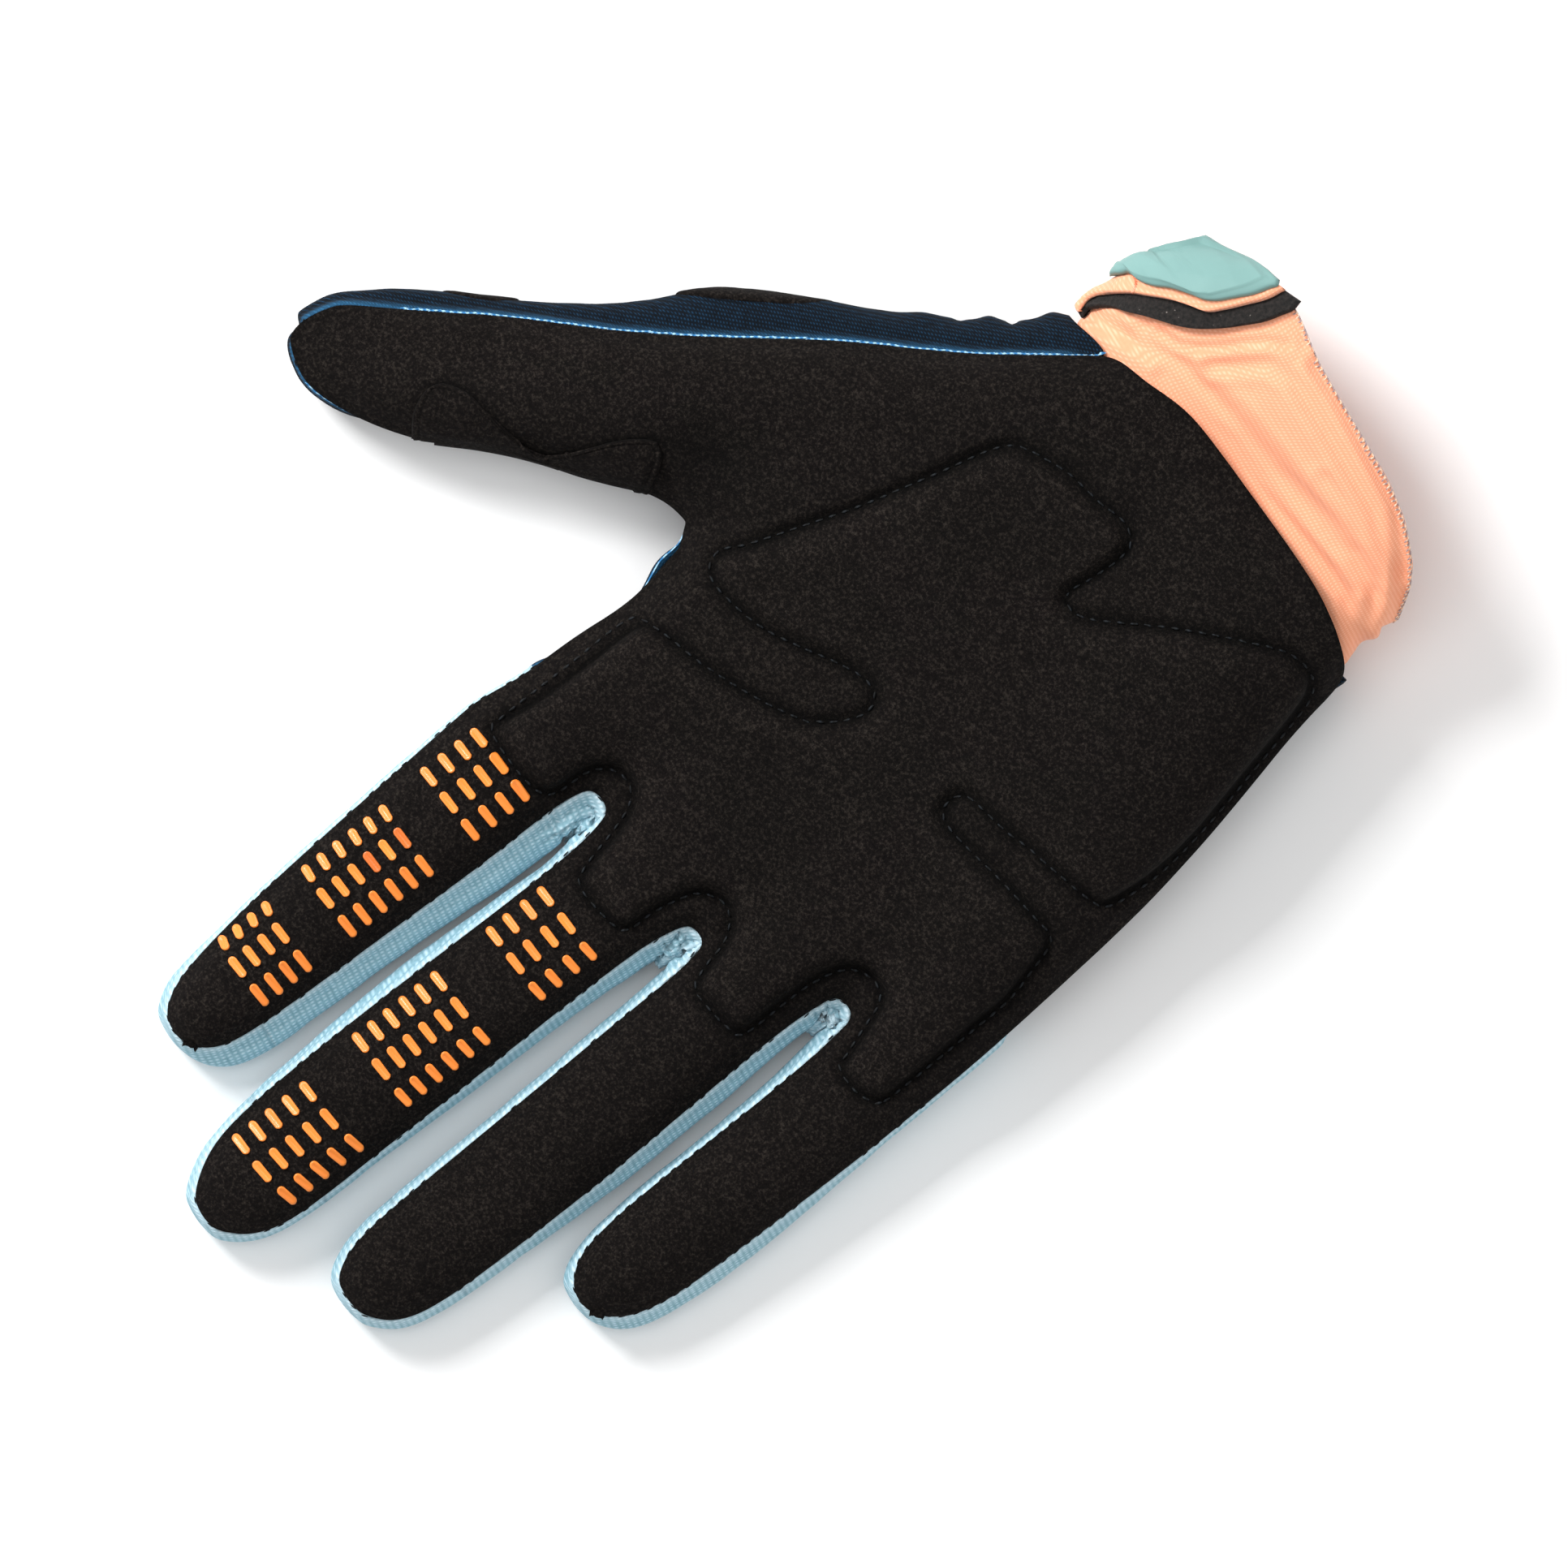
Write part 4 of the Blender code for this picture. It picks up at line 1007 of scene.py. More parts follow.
@dataclass
class BackShell:
    """The knit back: the navy hand and thumb, the light blue fingers and their side strips.

    All pieces are smoothed as one skin, so their seams meet, and are then cut apart.
    """

    wall: float = 1.1 * MM
    fill: float = 0.45 * MM
    tuck: float = -0.9 * MM
    lift: float = 1.05 * MM
    roll: float = 0.32 * MM
    weld: float = 0.7 * MM
    push: float = 1.1 * MM
    wrist_y: float = -0.0612

    PARTS = (
        ("hand_back", Cloth.NAVY, "navy_mesh"),
        ("thumb_back", Cloth.NAVY, "navy_mesh"),
        ("index_back", Cloth.BLUE, "light_blue_knit"),
        ("middle_back", Cloth.BLUE, "light_blue_knit"),
        ("ring_back", Cloth.BLUE, "light_blue_knit"),
        ("little_back", Cloth.BLUE, "light_blue_knit"),
        ("fourchette_index_middle", Cloth.BLUE, "light_blue_knit"),
        ("fourchette_middle_ring", Cloth.BLUE, "light_blue_knit"),
        ("fourchette_ring_little", Cloth.BLUE, "light_blue_knit"),
    )
    # Place in PARTS of the piece that takes the hand's side wall below the little finger
    LITTLE_BACK = 5
    # Folds of the navy knit at the thumb's root: X, Y, radius and height in millimetres
    BUMPS = ((36.5, -61.0, 2.6, 1.5), (40.3, -54.6, 0.9, -0.8), (43.4, -51.8, 2.0, 1.3),
             (46.5, -47.8, 1.0, -0.6), (51.0, -43.0, 3.0, 0.5))
    # Strips between the fingers: X of the gap's middle, a place along it and its crotch, mm
    GAPS = {"fourchette_index_middle": (17.6, 100.0, 53.2),
            "fourchette_middle_ring": (-11.1, 95.0, 54.2),
            "fourchette_ring_little": (-38.6, 80.0, 41.5)}
    # Crotches, where the strips are gathered: X, Y of the seam and Y where the gap closes
    CROTCHES = ((-37.0, 41.5, 48.5), (-10.8, 54.2, 63.0), (18.5, 53.2, 65.0))

    tree: BVHTree | None = None

    def build(self) -> None:
        """Build every piece of the back."""
        whole = bmesh.new()
        for number, (name, _choice, _slot) in enumerate(self.PARTS):
            sides = (1, -1) if name in self.GAPS else (0,)
            shape = outer_skin(name, *(lambda face, name=name, side=side:
                                       self.outside(face, name, side) for side in sides),
                               sure=lambda face, name=name: self.web(face, name))
            for face in shape.faces:
                face.material_index = number
                middle = face.calc_center_median()
                if name == "hand_back" and middle.x < -0.050 and middle.y > 0.023 \
                        and middle.z > 0.0008:
                    face.material_index = self.LITTLE_BACK
            part = to_mesh(shape, name + "_skin")
            whole.from_mesh(part)
            bpy.data.meshes.remove(part)
        rims = [corner for corner in whole.verts if corner.is_boundary]
        bmesh.ops.remove_doubles(whole, verts=rims, dist=self.weld)
        mesh = rounded(to_mesh(whole, "back_cage"), 3)
        self.relief(mesh)
        for number, (name, choice, slot) in enumerate(self.PARTS):
            self.cut(mesh, number, name, choice)

    def outside(self, face: bmesh.types.BMFace, name: str, side: int) -> float:
        """Score how surely a face lies on the outside of a piece.

        Args:
            face: the face.
            name: its node.
            side: for a strip between fingers, 1 or -1 for the wall that faces +X or -X.

        Returns:
            Its area where it lies on the rest plane; for a strip, how near it is to the
            middle of the wanted wall.
        """
        middle = face.calc_center_median()
        if name not in self.GAPS:
            flat = max(corner.co.z for corner in face.verts) < 2e-5
            return face.calc_area() if flat else 0.0
        across, along, _crotch = (value * MM for value in self.GAPS[name])
        off = side * (across - middle.x)
        return -1.0 if side * face.normal.x < 0.7 or off < 0 else -off - abs(middle.y - along)

    def web(self, face: bmesh.types.BMFace, name: str) -> bool:
        """Tell whether a face belongs to the web that closes a gap at its crotch."""
        if name not in self.GAPS:
            return False
        return face.normal.y > 0.3 and face.calc_center_median().y < (self.GAPS[name][2] + 9) * MM

    def relief(self, mesh: bpy.types.Mesh) -> None:
        """Fill the walls out, roll the sewn top edge and gather the strips at the crotches.

        Args:
            mesh: the whole skin, which is changed.
        """
        points, normals = read_points(mesh)
        rim = border_points(mesh)
        rim = rim[rim[:, 1] > self.wrist_y]
        edge = near_distance(points, rim, 9 * MM)
        wrist = np.clip((points[:, 1] - self.wrist_y) / 0.004, 0, 1)
        share = np.clip(points[:, 2] / rim_heights(points, rim), 0, 1)
        belly = np.sin(np.pi * share) ** 0.8
        flat = normals[:, :2] / np.maximum(np.linalg.norm(normals[:, :2], axis=1), 1e-6)[:, None]
        upright = np.clip(1.4 - np.abs(normals[:, 2]) * 1.4, 0, 1)
        blue = ease((points[:, 1] - 44 * MM) / (6 * MM))
        blue = np.maximum(blue, ease((points[:, 1] - 22 * MM) / (4 * MM))
                          * (points[:, 0] < -0.03))
        outer = ease((thumb_side(points) - 6 * MM) / (4 * MM)) * (points[:, 0] > 0.018)
        outer *= 1 - ease((points[:, 1] - 43.5 * MM) / (3 * MM))
        cleft = np.exp(-((points[:, 0] - 43.5 * MM) ** 2 + (points[:, 1] - 19.5 * MM) ** 2)
                       / (6 * MM) ** 2)
        shown = np.maximum(np.maximum(blue, outer), cleft)
        points[:, :2] += flat * (self.fill * shown * belly * upright * wrist)[:, None]
        tip = ease((points[:, 0] - 104 * MM) / (8 * MM))
        points[:, :2] += flat * (self.tuck * (1 + 1.2 * tip) * (1 - shown)
                                 * np.maximum(ease(share * 2.5), tip) * wrist)[:, None]
        points[:, :2] += flat * (self.push * cleft * ease(share * 2.5))[:, None]
        for x, rim_y, close_y in self.CROTCHES:
            dx = points[:, 0] - x * MM
            near = np.exp(-(dx / (3.4 * MM)) ** 4) * (points[:, 1] < (close_y + 9) * MM)
            near *= points[:, 1] > (rim_y - 6) * MM
            bottom = np.clip(((close_y + 2) * MM - points[:, 1]) / (7 * MM), 0, 1)
            points[:, 1] += belly * near * np.abs(normals[:, 1]) * (close_y - rim_y - 3) * MM
            points[:, 0] -= dx * near * belly * 0.8 * bottom * np.abs(normals[:, 0])
        for x, _rim_y, close_y in self.CROTCHES:
            dx = points[:, 0] - x * MM
            dy = points[:, 1] - (close_y - 2.5) * MM
            near = np.exp(-(dx * dx + dy * dy) / (3.6 * MM) ** 2) * ease(share * 3 - 0.6)
            top = 9.4 * MM - 0.5 * MM * np.abs(dx) / (3 * MM)
            points[:, 2] += (top - points[:, 2]) * 0.8 * near
        points[:, 2] += self.lift * (0.3 + 0.7 * shown) * np.exp(-edge / (1.6 * MM)) * wrist
        lift = self.roll * np.exp(-((edge - 0.5 * MM) / (0.75 * MM)) ** 2) * wrist
        lift -= 0.22 * MM * np.exp(-((edge - 2.1 * MM) / (0.8 * MM)) ** 2) * wrist
        high = np.clip(points[:, 2] / (3 * MM), 0, 1)
        lift += 0.16 * MM * fractal(points, 7 * MM, 5.0) * high
        lift += 0.09 * MM * fractal(points, 1.5 * MM, 9.0) * np.exp(-edge / (1.5 * MM))
        for x, _rim_y, close_y in self.CROTCHES:
            dx = points[:, 0] - x * MM
            dy = points[:, 1] - (close_y - 1.5) * MM
            near = np.exp(-(dx * dx + dy * dy) / (5.0 * MM) ** 2)
            fold = np.abs(np.sin(np.arctan2(dy, dx) * 3.5 + points[:, 2] / (2.2 * MM) + x
                                 + 0.8 * fractal(points, 3 * MM, 2.0)))
            lift += MM * near * (0.35 - (1 - fold) ** 2) * high
        points += normals * lift[:, None]
        for x, y, radius, height in self.BUMPS:
            gap = (points[:, 0] - x * MM) ** 2 + (points[:, 1] - y * MM) ** 2
            swell = height * MM * np.exp(-gap / (radius * MM) ** 2) * belly
            points[:, :2] += flat * swell[:, None]
        points = edge_fit(points)
        points[:, 2] = np.maximum(points[:, 2], FLOOR_GAP)
        write_points(mesh, points)
        self.tree = tree_of(mesh)
        shade = mesh.attributes.new("seam", "FLOAT", "POINT")
        shade.data.foreach_set("value", (np.exp(-(edge / (0.8 * MM)) ** 2) * shown
                                         * wrist).astype(np.float32))

    def cut(self, mesh: bpy.types.Mesh, number: int, name: str, choice: Cloth) -> None:
        """Cut one piece out of the smoothed skin.

        Args:
            mesh: the whole skin.
            number: the piece's place in PARTS.
            name: its CAD node.
            choice: its finish.
        """
        shape = bmesh.new()
        shape.from_mesh(mesh)
        rest = [face for face in shape.faces if face.material_index != number]
        bmesh.ops.delete(shape, geom=rest, context="FACES")
        for face in shape.faces:
            face.material_index = 0
        add_piece(name + "_knit", to_mesh(shape, name + "_knit"), choice, (name,),
                  self.wall)


@dataclass
class CuffTube:
    """The stretch knit cuff with its fanning folds and overlocked hem."""

    wall: float = 1.1 * MM
    hem_step: float = 0.85 * MM
    rings: int = 4
    ring_step: float = 3 * MM
    tree: BVHTree | None = None

    # Folds seen from the palm: half width and depth, then X and Y along it, in millimetres
    FOLDS = (
        (1.3, 0.70, ((31.5, -66.2), (26.4, -67.9), (21.9, -69.8), (16.2, -71.5), (4.5, -72.9),
                     (-8.3, -73.5), (-19.9, -74.9), (-29.3, -75.6), (-36.9, -74.0),
                     (-42.5, -68.7))),
        (1.2, 0.55, ((24.7, -71.9), (13.5, -73.8), (2.8, -75.1), (-11.9, -75.9),
                     (-26.5, -77.7), (-35.1, -76.3), (-42.5, -72.5))),
        (0.8, 0.45, ((22.3, -73.6), (18.8, -74.5), (15.9, -76.8), (13.4, -80.3), (11.3, -84.1),
                     (9.3, -87.0), (6.9, -89.2))),
        (1.2, 0.45, ((11.9, -76.9), (6.0, -84.6), (1.2, -86.2), (-10.3, -85.1),
                     (-24.8, -83.4), (-37, -80.5))),
        (1.2, 0.6, ((0.8, -91.1), (-6.1, -91.0), (-15.2, -89.2), (-27.4, -86.7),
                    (-34.8, -82.7), (-43, -75.5))),
        (1.2, 0.5, ((16.0, -69.0), (0.0, -70.5), (-18.0, -70.8), (-34.0, -70.9),
                     (-44.0, -66.0))),
        (1.2, 0.25, ((-16.0, -80.0), (-28.0, -80.4), (-38.5, -78.0), (-43.0, -73.6))),
    )

    def build(self) -> None:
        """Build the tube and its hem."""
        shape = outer_skin("cuff", lambda face: face.calc_center_median().z + face.normal.z)
        mesh = rounded(to_mesh(shape, "cuff_cage"), 3)
        points, normals = read_points(mesh)
        points = cuff_fit(points)
        self.tree = self.longer(mesh, points)
        palm_side = np.clip(normals[:, 2] * 1.6 + 0.75, 0, 1)
        lift = np.zeros(len(points))
        for half, depth, route in self.FOLDS:
            line = np.array(route, float) * MM
            away = line_distance(points[:, :2], line, False)
            lift -= depth * MM * np.exp(-(away / (half * MM)) ** 2) * palm_side
            lift += 0.6 * depth * MM * np.exp(-((away - 2.0 * half * MM)
                                                / (0.9 * half * MM)) ** 2) * palm_side
        lift += 0.14 * MM * fractal(points * np.array((0.25, 1.0, 0.4)), 6 * MM, 8.0)
        points += normals * lift[:, None]
        write_points(mesh, points)
        piece = add_piece("cuff_knit", mesh, Cloth.PEACH, ("cuff",), self.wall)
        self.hem(piece.data)

    def longer(self, mesh: bpy.types.Mesh, points: np.ndarray) -> BVHTree:
        """Give the tube's surface with its mouth drawn out, for the layers that overhang it.

        Args:
            mesh: the tube.
            points: its fitted places.

        Returns:
            The surface.
        """
        shape = bmesh.new()
        shape.from_mesh(mesh)
        for corner, point in zip(shape.verts, points):
            corner.co = point
        rim = [edge for edge in shape.edges if edge.is_boundary
               and max(corner.co.y for corner in edge.verts) < -0.07]
        for _ring in range(self.rings):
            grown = bmesh.ops.extrude_edge_only(shape, edges=rim)["geom"]
            rim = [item for item in grown if isinstance(item, bmesh.types.BMEdge)]
            for corner in {corner for edge in rim for corner in edge.verts}:
                corner.co.y -= self.ring_step
        face_outwards(shape)
        tree = BVHTree.FromBMesh(shape)
        shape.free()
        return tree

    def hem(self, mesh: bpy.types.Mesh) -> None:
        """Overlock the mouth with short crossing threads.

        Args:
            mesh: the finished tube skin.
        """
        even = catmull(chain_of(mesh, lambda place: place.y < -0.070)[::3], self.hem_step,
                       True)
        sewn = bmesh.new()
        middle = sum(even, Vector()) / len(even)
        for index, place in enumerate(even):
            after = even[(index + 1) % len(even)]
            along = (after - place).normalized()
            out = place - middle
            out.y = 0
            out = (out - along * out.dot(along)).normalized()
            back = along.cross(out)
            if back.y > 0:
                back = -back
            lean = 0.32 if index % 2 else -0.18
            reach = (1.15 + 0.4 * noise.noise(place * 900)) * MM
            spot = place - back * 0.35 * MM + out * 0.02 * MM
            add_stitch(sewn, spot, back + along * lean, out, reach, 0.36 * MM)
            add_stitch(sewn, place + back * 0.10 * MM, along + out * 0.2, back, 1.2 * MM,
                       0.38 * MM)
        add_piece("cuff_hem", to_mesh(sewn, "cuff_hem"), Cloth.OVERLOCK)


@dataclass
class SideForm:
    """Smooth copy of the cuff's surface as radii round an axis that runs along Y."""

    tree: BVHTree
    axis_x: float = 8.0 * MM
    axis_z: float = 15.0 * MM
    start_y: float = -56.0 * MM
    pitch: float = 1.0 * MM
    stations: int = 52
    turn: float = math.radians(2.0)
    first: float = math.radians(140)
    rays: int = 146
    # Side under the strap, in millimetres: Y, then the X that the photo's outline asks for
    SIDE_Y = (-95.0, -91.3, -89.5, -88.0, -86.2, -83.4, -81.3, -78.3, -76.1, -73.5, -70.0)
    SIDE_X = (22.9, 26.5, 28.3, 29.8, 30.7, 31.5, 31.9, 32.2, 32.5, 32.7, 33.2)
    radius: np.ndarray | None = None

    def build(self) -> None:
        """Measure and smooth the radii."""
        found = np.zeros((self.stations, self.rays))
        for station in range(self.stations):
            origin = Vector((self.axis_x, self.start_y - station * self.pitch, self.axis_z))
            for ray in range(self.rays):
                angle = self.first - ray * self.turn
                hit = self.tree.ray_cast(origin, Vector((math.cos(angle), 0, math.sin(angle))))
                found[station, ray] = hit[3] if hit[0] is not None else 0.0
        full = np.where((found > 0).all(axis=1))[0]
        for station in range(self.stations):
            near = int(full[np.argmin(np.abs(full - station))])
            found[station] = np.where(found[station] > 0, found[station], found[near])
        for _pass in range(6):
            wide = np.pad(found, 1, mode="edge")
            found = (wide[:-2, 1:-1] + wide[2:, 1:-1] + wide[1:-1, :-2] + wide[1:-1, 2:]
                     + 4 * wide[1:-1, 1:-1]) / 8
        angles = self.first - np.arange(self.rays) * self.turn
        side = np.clip(np.cos(angles), 0, 1) ** 2
        for station in range(self.stations):
            y = (self.start_y - station * self.pitch) / MM
            widest = (self.axis_x + found[station] * np.cos(angles)).max() / MM
            wanted = np.interp(y, self.SIDE_Y, self.SIDE_X)
            found[station] += (wanted - widest) * MM * side * float(ease((-70 - y) / 3.5))
        self.radius = found

    def point(self, y: float, angle: float) -> Vector:
        """Give the surface's place at a station and an angle."""
        along = min(max((self.start_y - y) / self.pitch, 0.0), self.stations - 1.001)
        round_ = min(max((self.first - angle) / self.turn, 0.0), self.rays - 1.001)
        i, j = int(along), int(round_)
        u, v = along - i, round_ - j
        grid = self.radius
        radius = ((grid[i, j] * (1 - v) + grid[i, j + 1] * v) * (1 - u)
                  + (grid[i + 1, j] * (1 - v) + grid[i + 1, j + 1] * v) * u)
        return Vector((self.axis_x + radius * math.cos(angle), y,
                       self.axis_z + radius * math.sin(angle)))

    def normal(self, y: float, angle: float) -> Vector:
        """Give the surface's outward normal."""
        along = self.point(y + MM, angle) - self.point(y - MM, angle)
        around = self.point(y, angle + 0.05) - self.point(y, angle - 0.05)
        return along.cross(around).normalized()

    def foot(self, spot: Vector, height: float) -> tuple[float, float]:
        """Find the station and angle whose lifted point is seen at a place in plan.

        Args:
            spot: the wanted place in plan.
            height: how far the point is lifted along the normal.

        Returns:
            The station and the angle.
        """
        y = spot.y
        angle = self.first
        for _pass in range(4):
            reach = [(self.point(y, self.first - step * self.turn)
                      + self.normal(y, self.first - step * self.turn) * height).x
                     for step in range(5, 75)]
            step = next((step for step, x in enumerate(reach) if x >= spot.x), None)
            if step is None or step == 0:
                angle = self.first - (5 + int(np.argmax(reach))) * self.turn
            else:
                share = (spot.x - reach[step - 1]) / max(reach[step] - reach[step - 1], 1e-9)
                angle = self.first - (4 + step + share) * self.turn
            y = spot.y - self.normal(y, angle).y * height
        return y, angle


@dataclass
class WrapSheet:
    """A band that starts on a slanted edge on the palm side and wraps round the cuff.

    Its columns run from the hand's side to the mouth's side, its rows along the wrap.
    """

    name: str
    edge: tuple[tuple[float, float], ...]
    heading: tuple[float, float]
    length: tuple[float, float]
    under: float
    thickness: float
    rounding: float = 0.6 * MM
    columns: int = 84
    step: float = 0.45 * MM
    settled: float = 0.3 * MM
    settling: float = 16 * MM

    def lift(self, run: float) -> float:
        """Height of the band's underside above the cuff after a run along the wrap."""
        return self.settled + (self.under - self.settled) * (1 - float(ease(run / self.settling)))

    def span(self, across: float) -> float:
        """Length of the band at a share of the way from the hand's side to the mouth's side."""
        return self.length[0] + (self.length[1] - self.length[0]) * across

    def trace(self, form: SideForm, start: Vector, drift: float, steps: int,
              step: float) -> list[tuple[Vector, Vector]]:
        """March round the cuff with an even drift away from its mouth.

        Args:
            form: the cuff's surface.
            start: place in plan where the march starts.
            drift: way in Y for each way round.
            steps: number of steps.
            step: length of one.

        Returns:
            Places and normals, the start first.
        """
        y, angle = form.foot(start, self.lift(0.0) + self.thickness * 0.6)
        result = []
        for _count in range(steps + 1):
            place = form.point(y, angle)
            result.append((place, form.normal(y, angle)))
            speed = (form.point(y, angle - 0.02) - place).length / 0.02
            angle -= step / max(speed, 1e-6)
            y += drift * step
        return result

    def profile(self, across: float, run: float, far: float, sides: float) -> float:
        """Height of the band's outside above its underside.

        Args:
            across: share of the way from the hand's side to the mouth's side, for shapes
                that differ along it; not used here.
            run: distance from the slanted edge.
            far: distance from the far edge.
            sides: distance from the nearer side.

        Returns:
            The height.
        """
        near = min(run, far, sides) / self.rounding
        if near >= 1:
            return self.thickness
        return self.thickness * (0.35 + 0.65 * math.sqrt(max(0.0, 1 - (1 - near) ** 2)))

    def build(self, form: SideForm, choice: Cloth, slot: str, node: str,
              grain: float = 0.0) -> bpy.types.Mesh:
        """Build the band.

        Args:
            form: the cuff's surface.
            choice: its finish.
            slot: not used.
            node: the CAD node that it stands for.
            grain: height of its uneven surface.

        Returns:
            Its mesh.
        """
        guide = route_of(self.edge, 0.2 * MM)
        rows = max(6, round(max(self.length) / self.step))
        lines = []
        for column in range(self.columns + 1):
            share = column / self.columns
            start = guide[round(share * (len(guide) - 1))]
            length = self.span(share)
            turn = self.heading[0] + (self.heading[1] - self.heading[0]) * share
            lines.append(self.trace(form, start, turn, rows, length / rows))
        width = (guide[-1] - guide[0]).length
        shape = bmesh.new()
        bmesh.ops.create_grid(shape, x_segments=self.columns, y_segments=rows, size=0.5)
        for corner in shape.verts:
            across = corner.co.x + 0.5
            column = round(across * self.columns)
            row = round((corner.co.y + 0.5) * rows)
            place, normal = lines[column][row]
            length = self.span(across)
            run = length * row / rows
            sides = min(across, 1 - across) * width
            height = self.lift(run) + self.profile(across, run, length - run, sides)
            if grain:
                height += grain * noise.fractal(place / (0.8 * MM), 1.0, 2.0, 3)
            corner.co = place + normal * height
        face_outwards(shape)
        mesh = to_mesh(shape, self.name)
        add_piece(self.name, mesh, choice, (node,), self.thickness * 0.85)
        return mesh


@dataclass
class TabSheet(WrapSheet):
    """The rubber tab: a raised plate with a bevelled border and flat facets."""

    border: float = 1.7 * MM
    foot_width: float = 0.35 * MM

    def profile(self, across: float, run: float, far: float, sides: float) -> float:
        """Height of the tab: steep border, flat bevel, then a plate that falls in facets.

        Args:
            across: share of the way from the hand's side to the mouth's side.
            run: distance from the slanted edge.
            far: distance from the far edge.
            sides: distance from the nearer side.

        Returns:
            The height.
        """
        near = min(run, sides * 0.8, far)
        if near < self.foot_width:
            return self.thickness * 0.55 * math.sqrt(max(0.02, near / self.foot_width))
        if near < self.border:
            share = (near - self.foot_width) / (self.border - self.foot_width)
            return self.thickness * (0.55 + 0.33 * share)
        crease = (7.5 - 2.5 * float(ease((across - 0.6) / 0.15))) * MM
        fall = max(0.0, 0.30 - across) * 2.4 * MM
        crest = max(0.0, run - crease) * 0.12
        return self.thickness - min(fall + crest, self.thickness * 0.7)


@dataclass
class Closure:
    """The wrist strap, the hook tape under its end and the rubber pull tab on it."""

    # Edges seen from the palm and the seam at the tab's corner, X and Y in millimetres
    HOOK_EDGE = ((34.9, -64.3), (33.8, -65.8), (32.2, -68.2), (30.7, -69.8), (28.8, -71.0),
                 (26.1, -73.0), (23.6, -74.7), (21.2, -76.4), (18.8, -78.6), (16.2, -82.0),
                 (14.2, -85.4), (12.5, -88.7), (11.5, -92.0), (11.0, -93.8), (11.4, -95.9))
    STRAP_EDGE = ((35.0, -64.3), (35.2, -66.0), (34.6, -68.7), (32.7, -71.3), (30.9, -73.5),
                  (29.0, -75.2), (25.7, -78.1), (22.6, -80.2), (20.0, -81.8), (18.5, -84.3),
                  (17.0, -87.6), (15.3, -91.7), (14.8, -95.0))
    TAB_EDGE = ((36.4, -72.4), (35.5, -74.0), (34.6, -75.3), (32.1, -75.8), (29.7, -77.1),
                (27.3, -79.3), (24.1, -81.4), (22.1, -82.6), (20.7, -84.2), (19.4, -86.7),
                (17.8, -90.0), (16.9, -93.0), (16.4, -94.4), (17.1, -95.3))
    BARTACK = ((34.3, -75.5), (33.0, -75.9), (31.8, -75.4), (31.2, -74.4), (30.8, -73.4))
    hook_thickness: float = 1.45 * MM
    strap_thickness: float = 1.25 * MM
    tab_thickness: float = 1.7 * MM

    def build(self, cuff: CuffTube) -> None:
        """Build the three layers over the cuff.

        Args:
            cuff: the finished cuff.
        """
        form = SideForm(cuff.tree)
        form.build()
        WrapSheet("hook_tape_fuzz", self.HOOK_EDGE, (0.0, 0.3), (9 * MM, 9 * MM), 0.25 * MM,
                  self.hook_thickness, 0.35 * MM, 110, 0.3 * MM).build(
            form, Cloth.HOOK, "hook_tape", "hook_strip", 0.16 * MM)
        over_hook = 0.3 * MM + self.hook_thickness
        strap = WrapSheet("strap_knit", self.STRAP_EDGE, (-0.03, 0.33), (50 * MM, 54 * MM),
                          over_hook, self.strap_thickness, 0.7 * MM, 90, 0.5 * MM).build(
            form, Cloth.PEACH, "peach_knit", "wrist_strap", 0.04 * MM)
        self.bartack(strap)
        TabSheet("rubber_tab", self.TAB_EDGE, (0.0, 0.33), (16 * MM, 19 * MM),
                 over_hook + self.strap_thickness + 0.05 * MM, self.tab_thickness,
                 columns=96, step=0.3 * MM,
                 settled=0.4 * MM + self.strap_thickness).build(
            form, Cloth.MINT, "mint_rubber", "pull_tab")

    def bartack(self, strap: bpy.types.Mesh) -> None:
        """Sew the short seam that holds the tab's corner.

        Args:
            strap: the strap's mesh.
        """
        tree = tree_of(strap)
        sewn = bmesh.new()
        route = route_of(self.BARTACK, 0.42 * MM)
        for index, spot in enumerate(route[:-1]):
            place, normal, _index, _gap = tree.ray_cast(Vector((spot.x, spot.y, ABOVE)), DOWN)
            if place is None:
                continue
            along = route[index + 1] - spot
            cross = normal.cross(along).normalized() * 0.8 + along.normalized() * 0.35
            add_stitch(sewn, place + normal * 0.06 * MM, cross, normal, 0.95 * MM, 0.3 * MM)
        add_piece("strap_bartack", to_mesh(sewn, "strap_bartack"), Cloth.CORAL_THREAD)


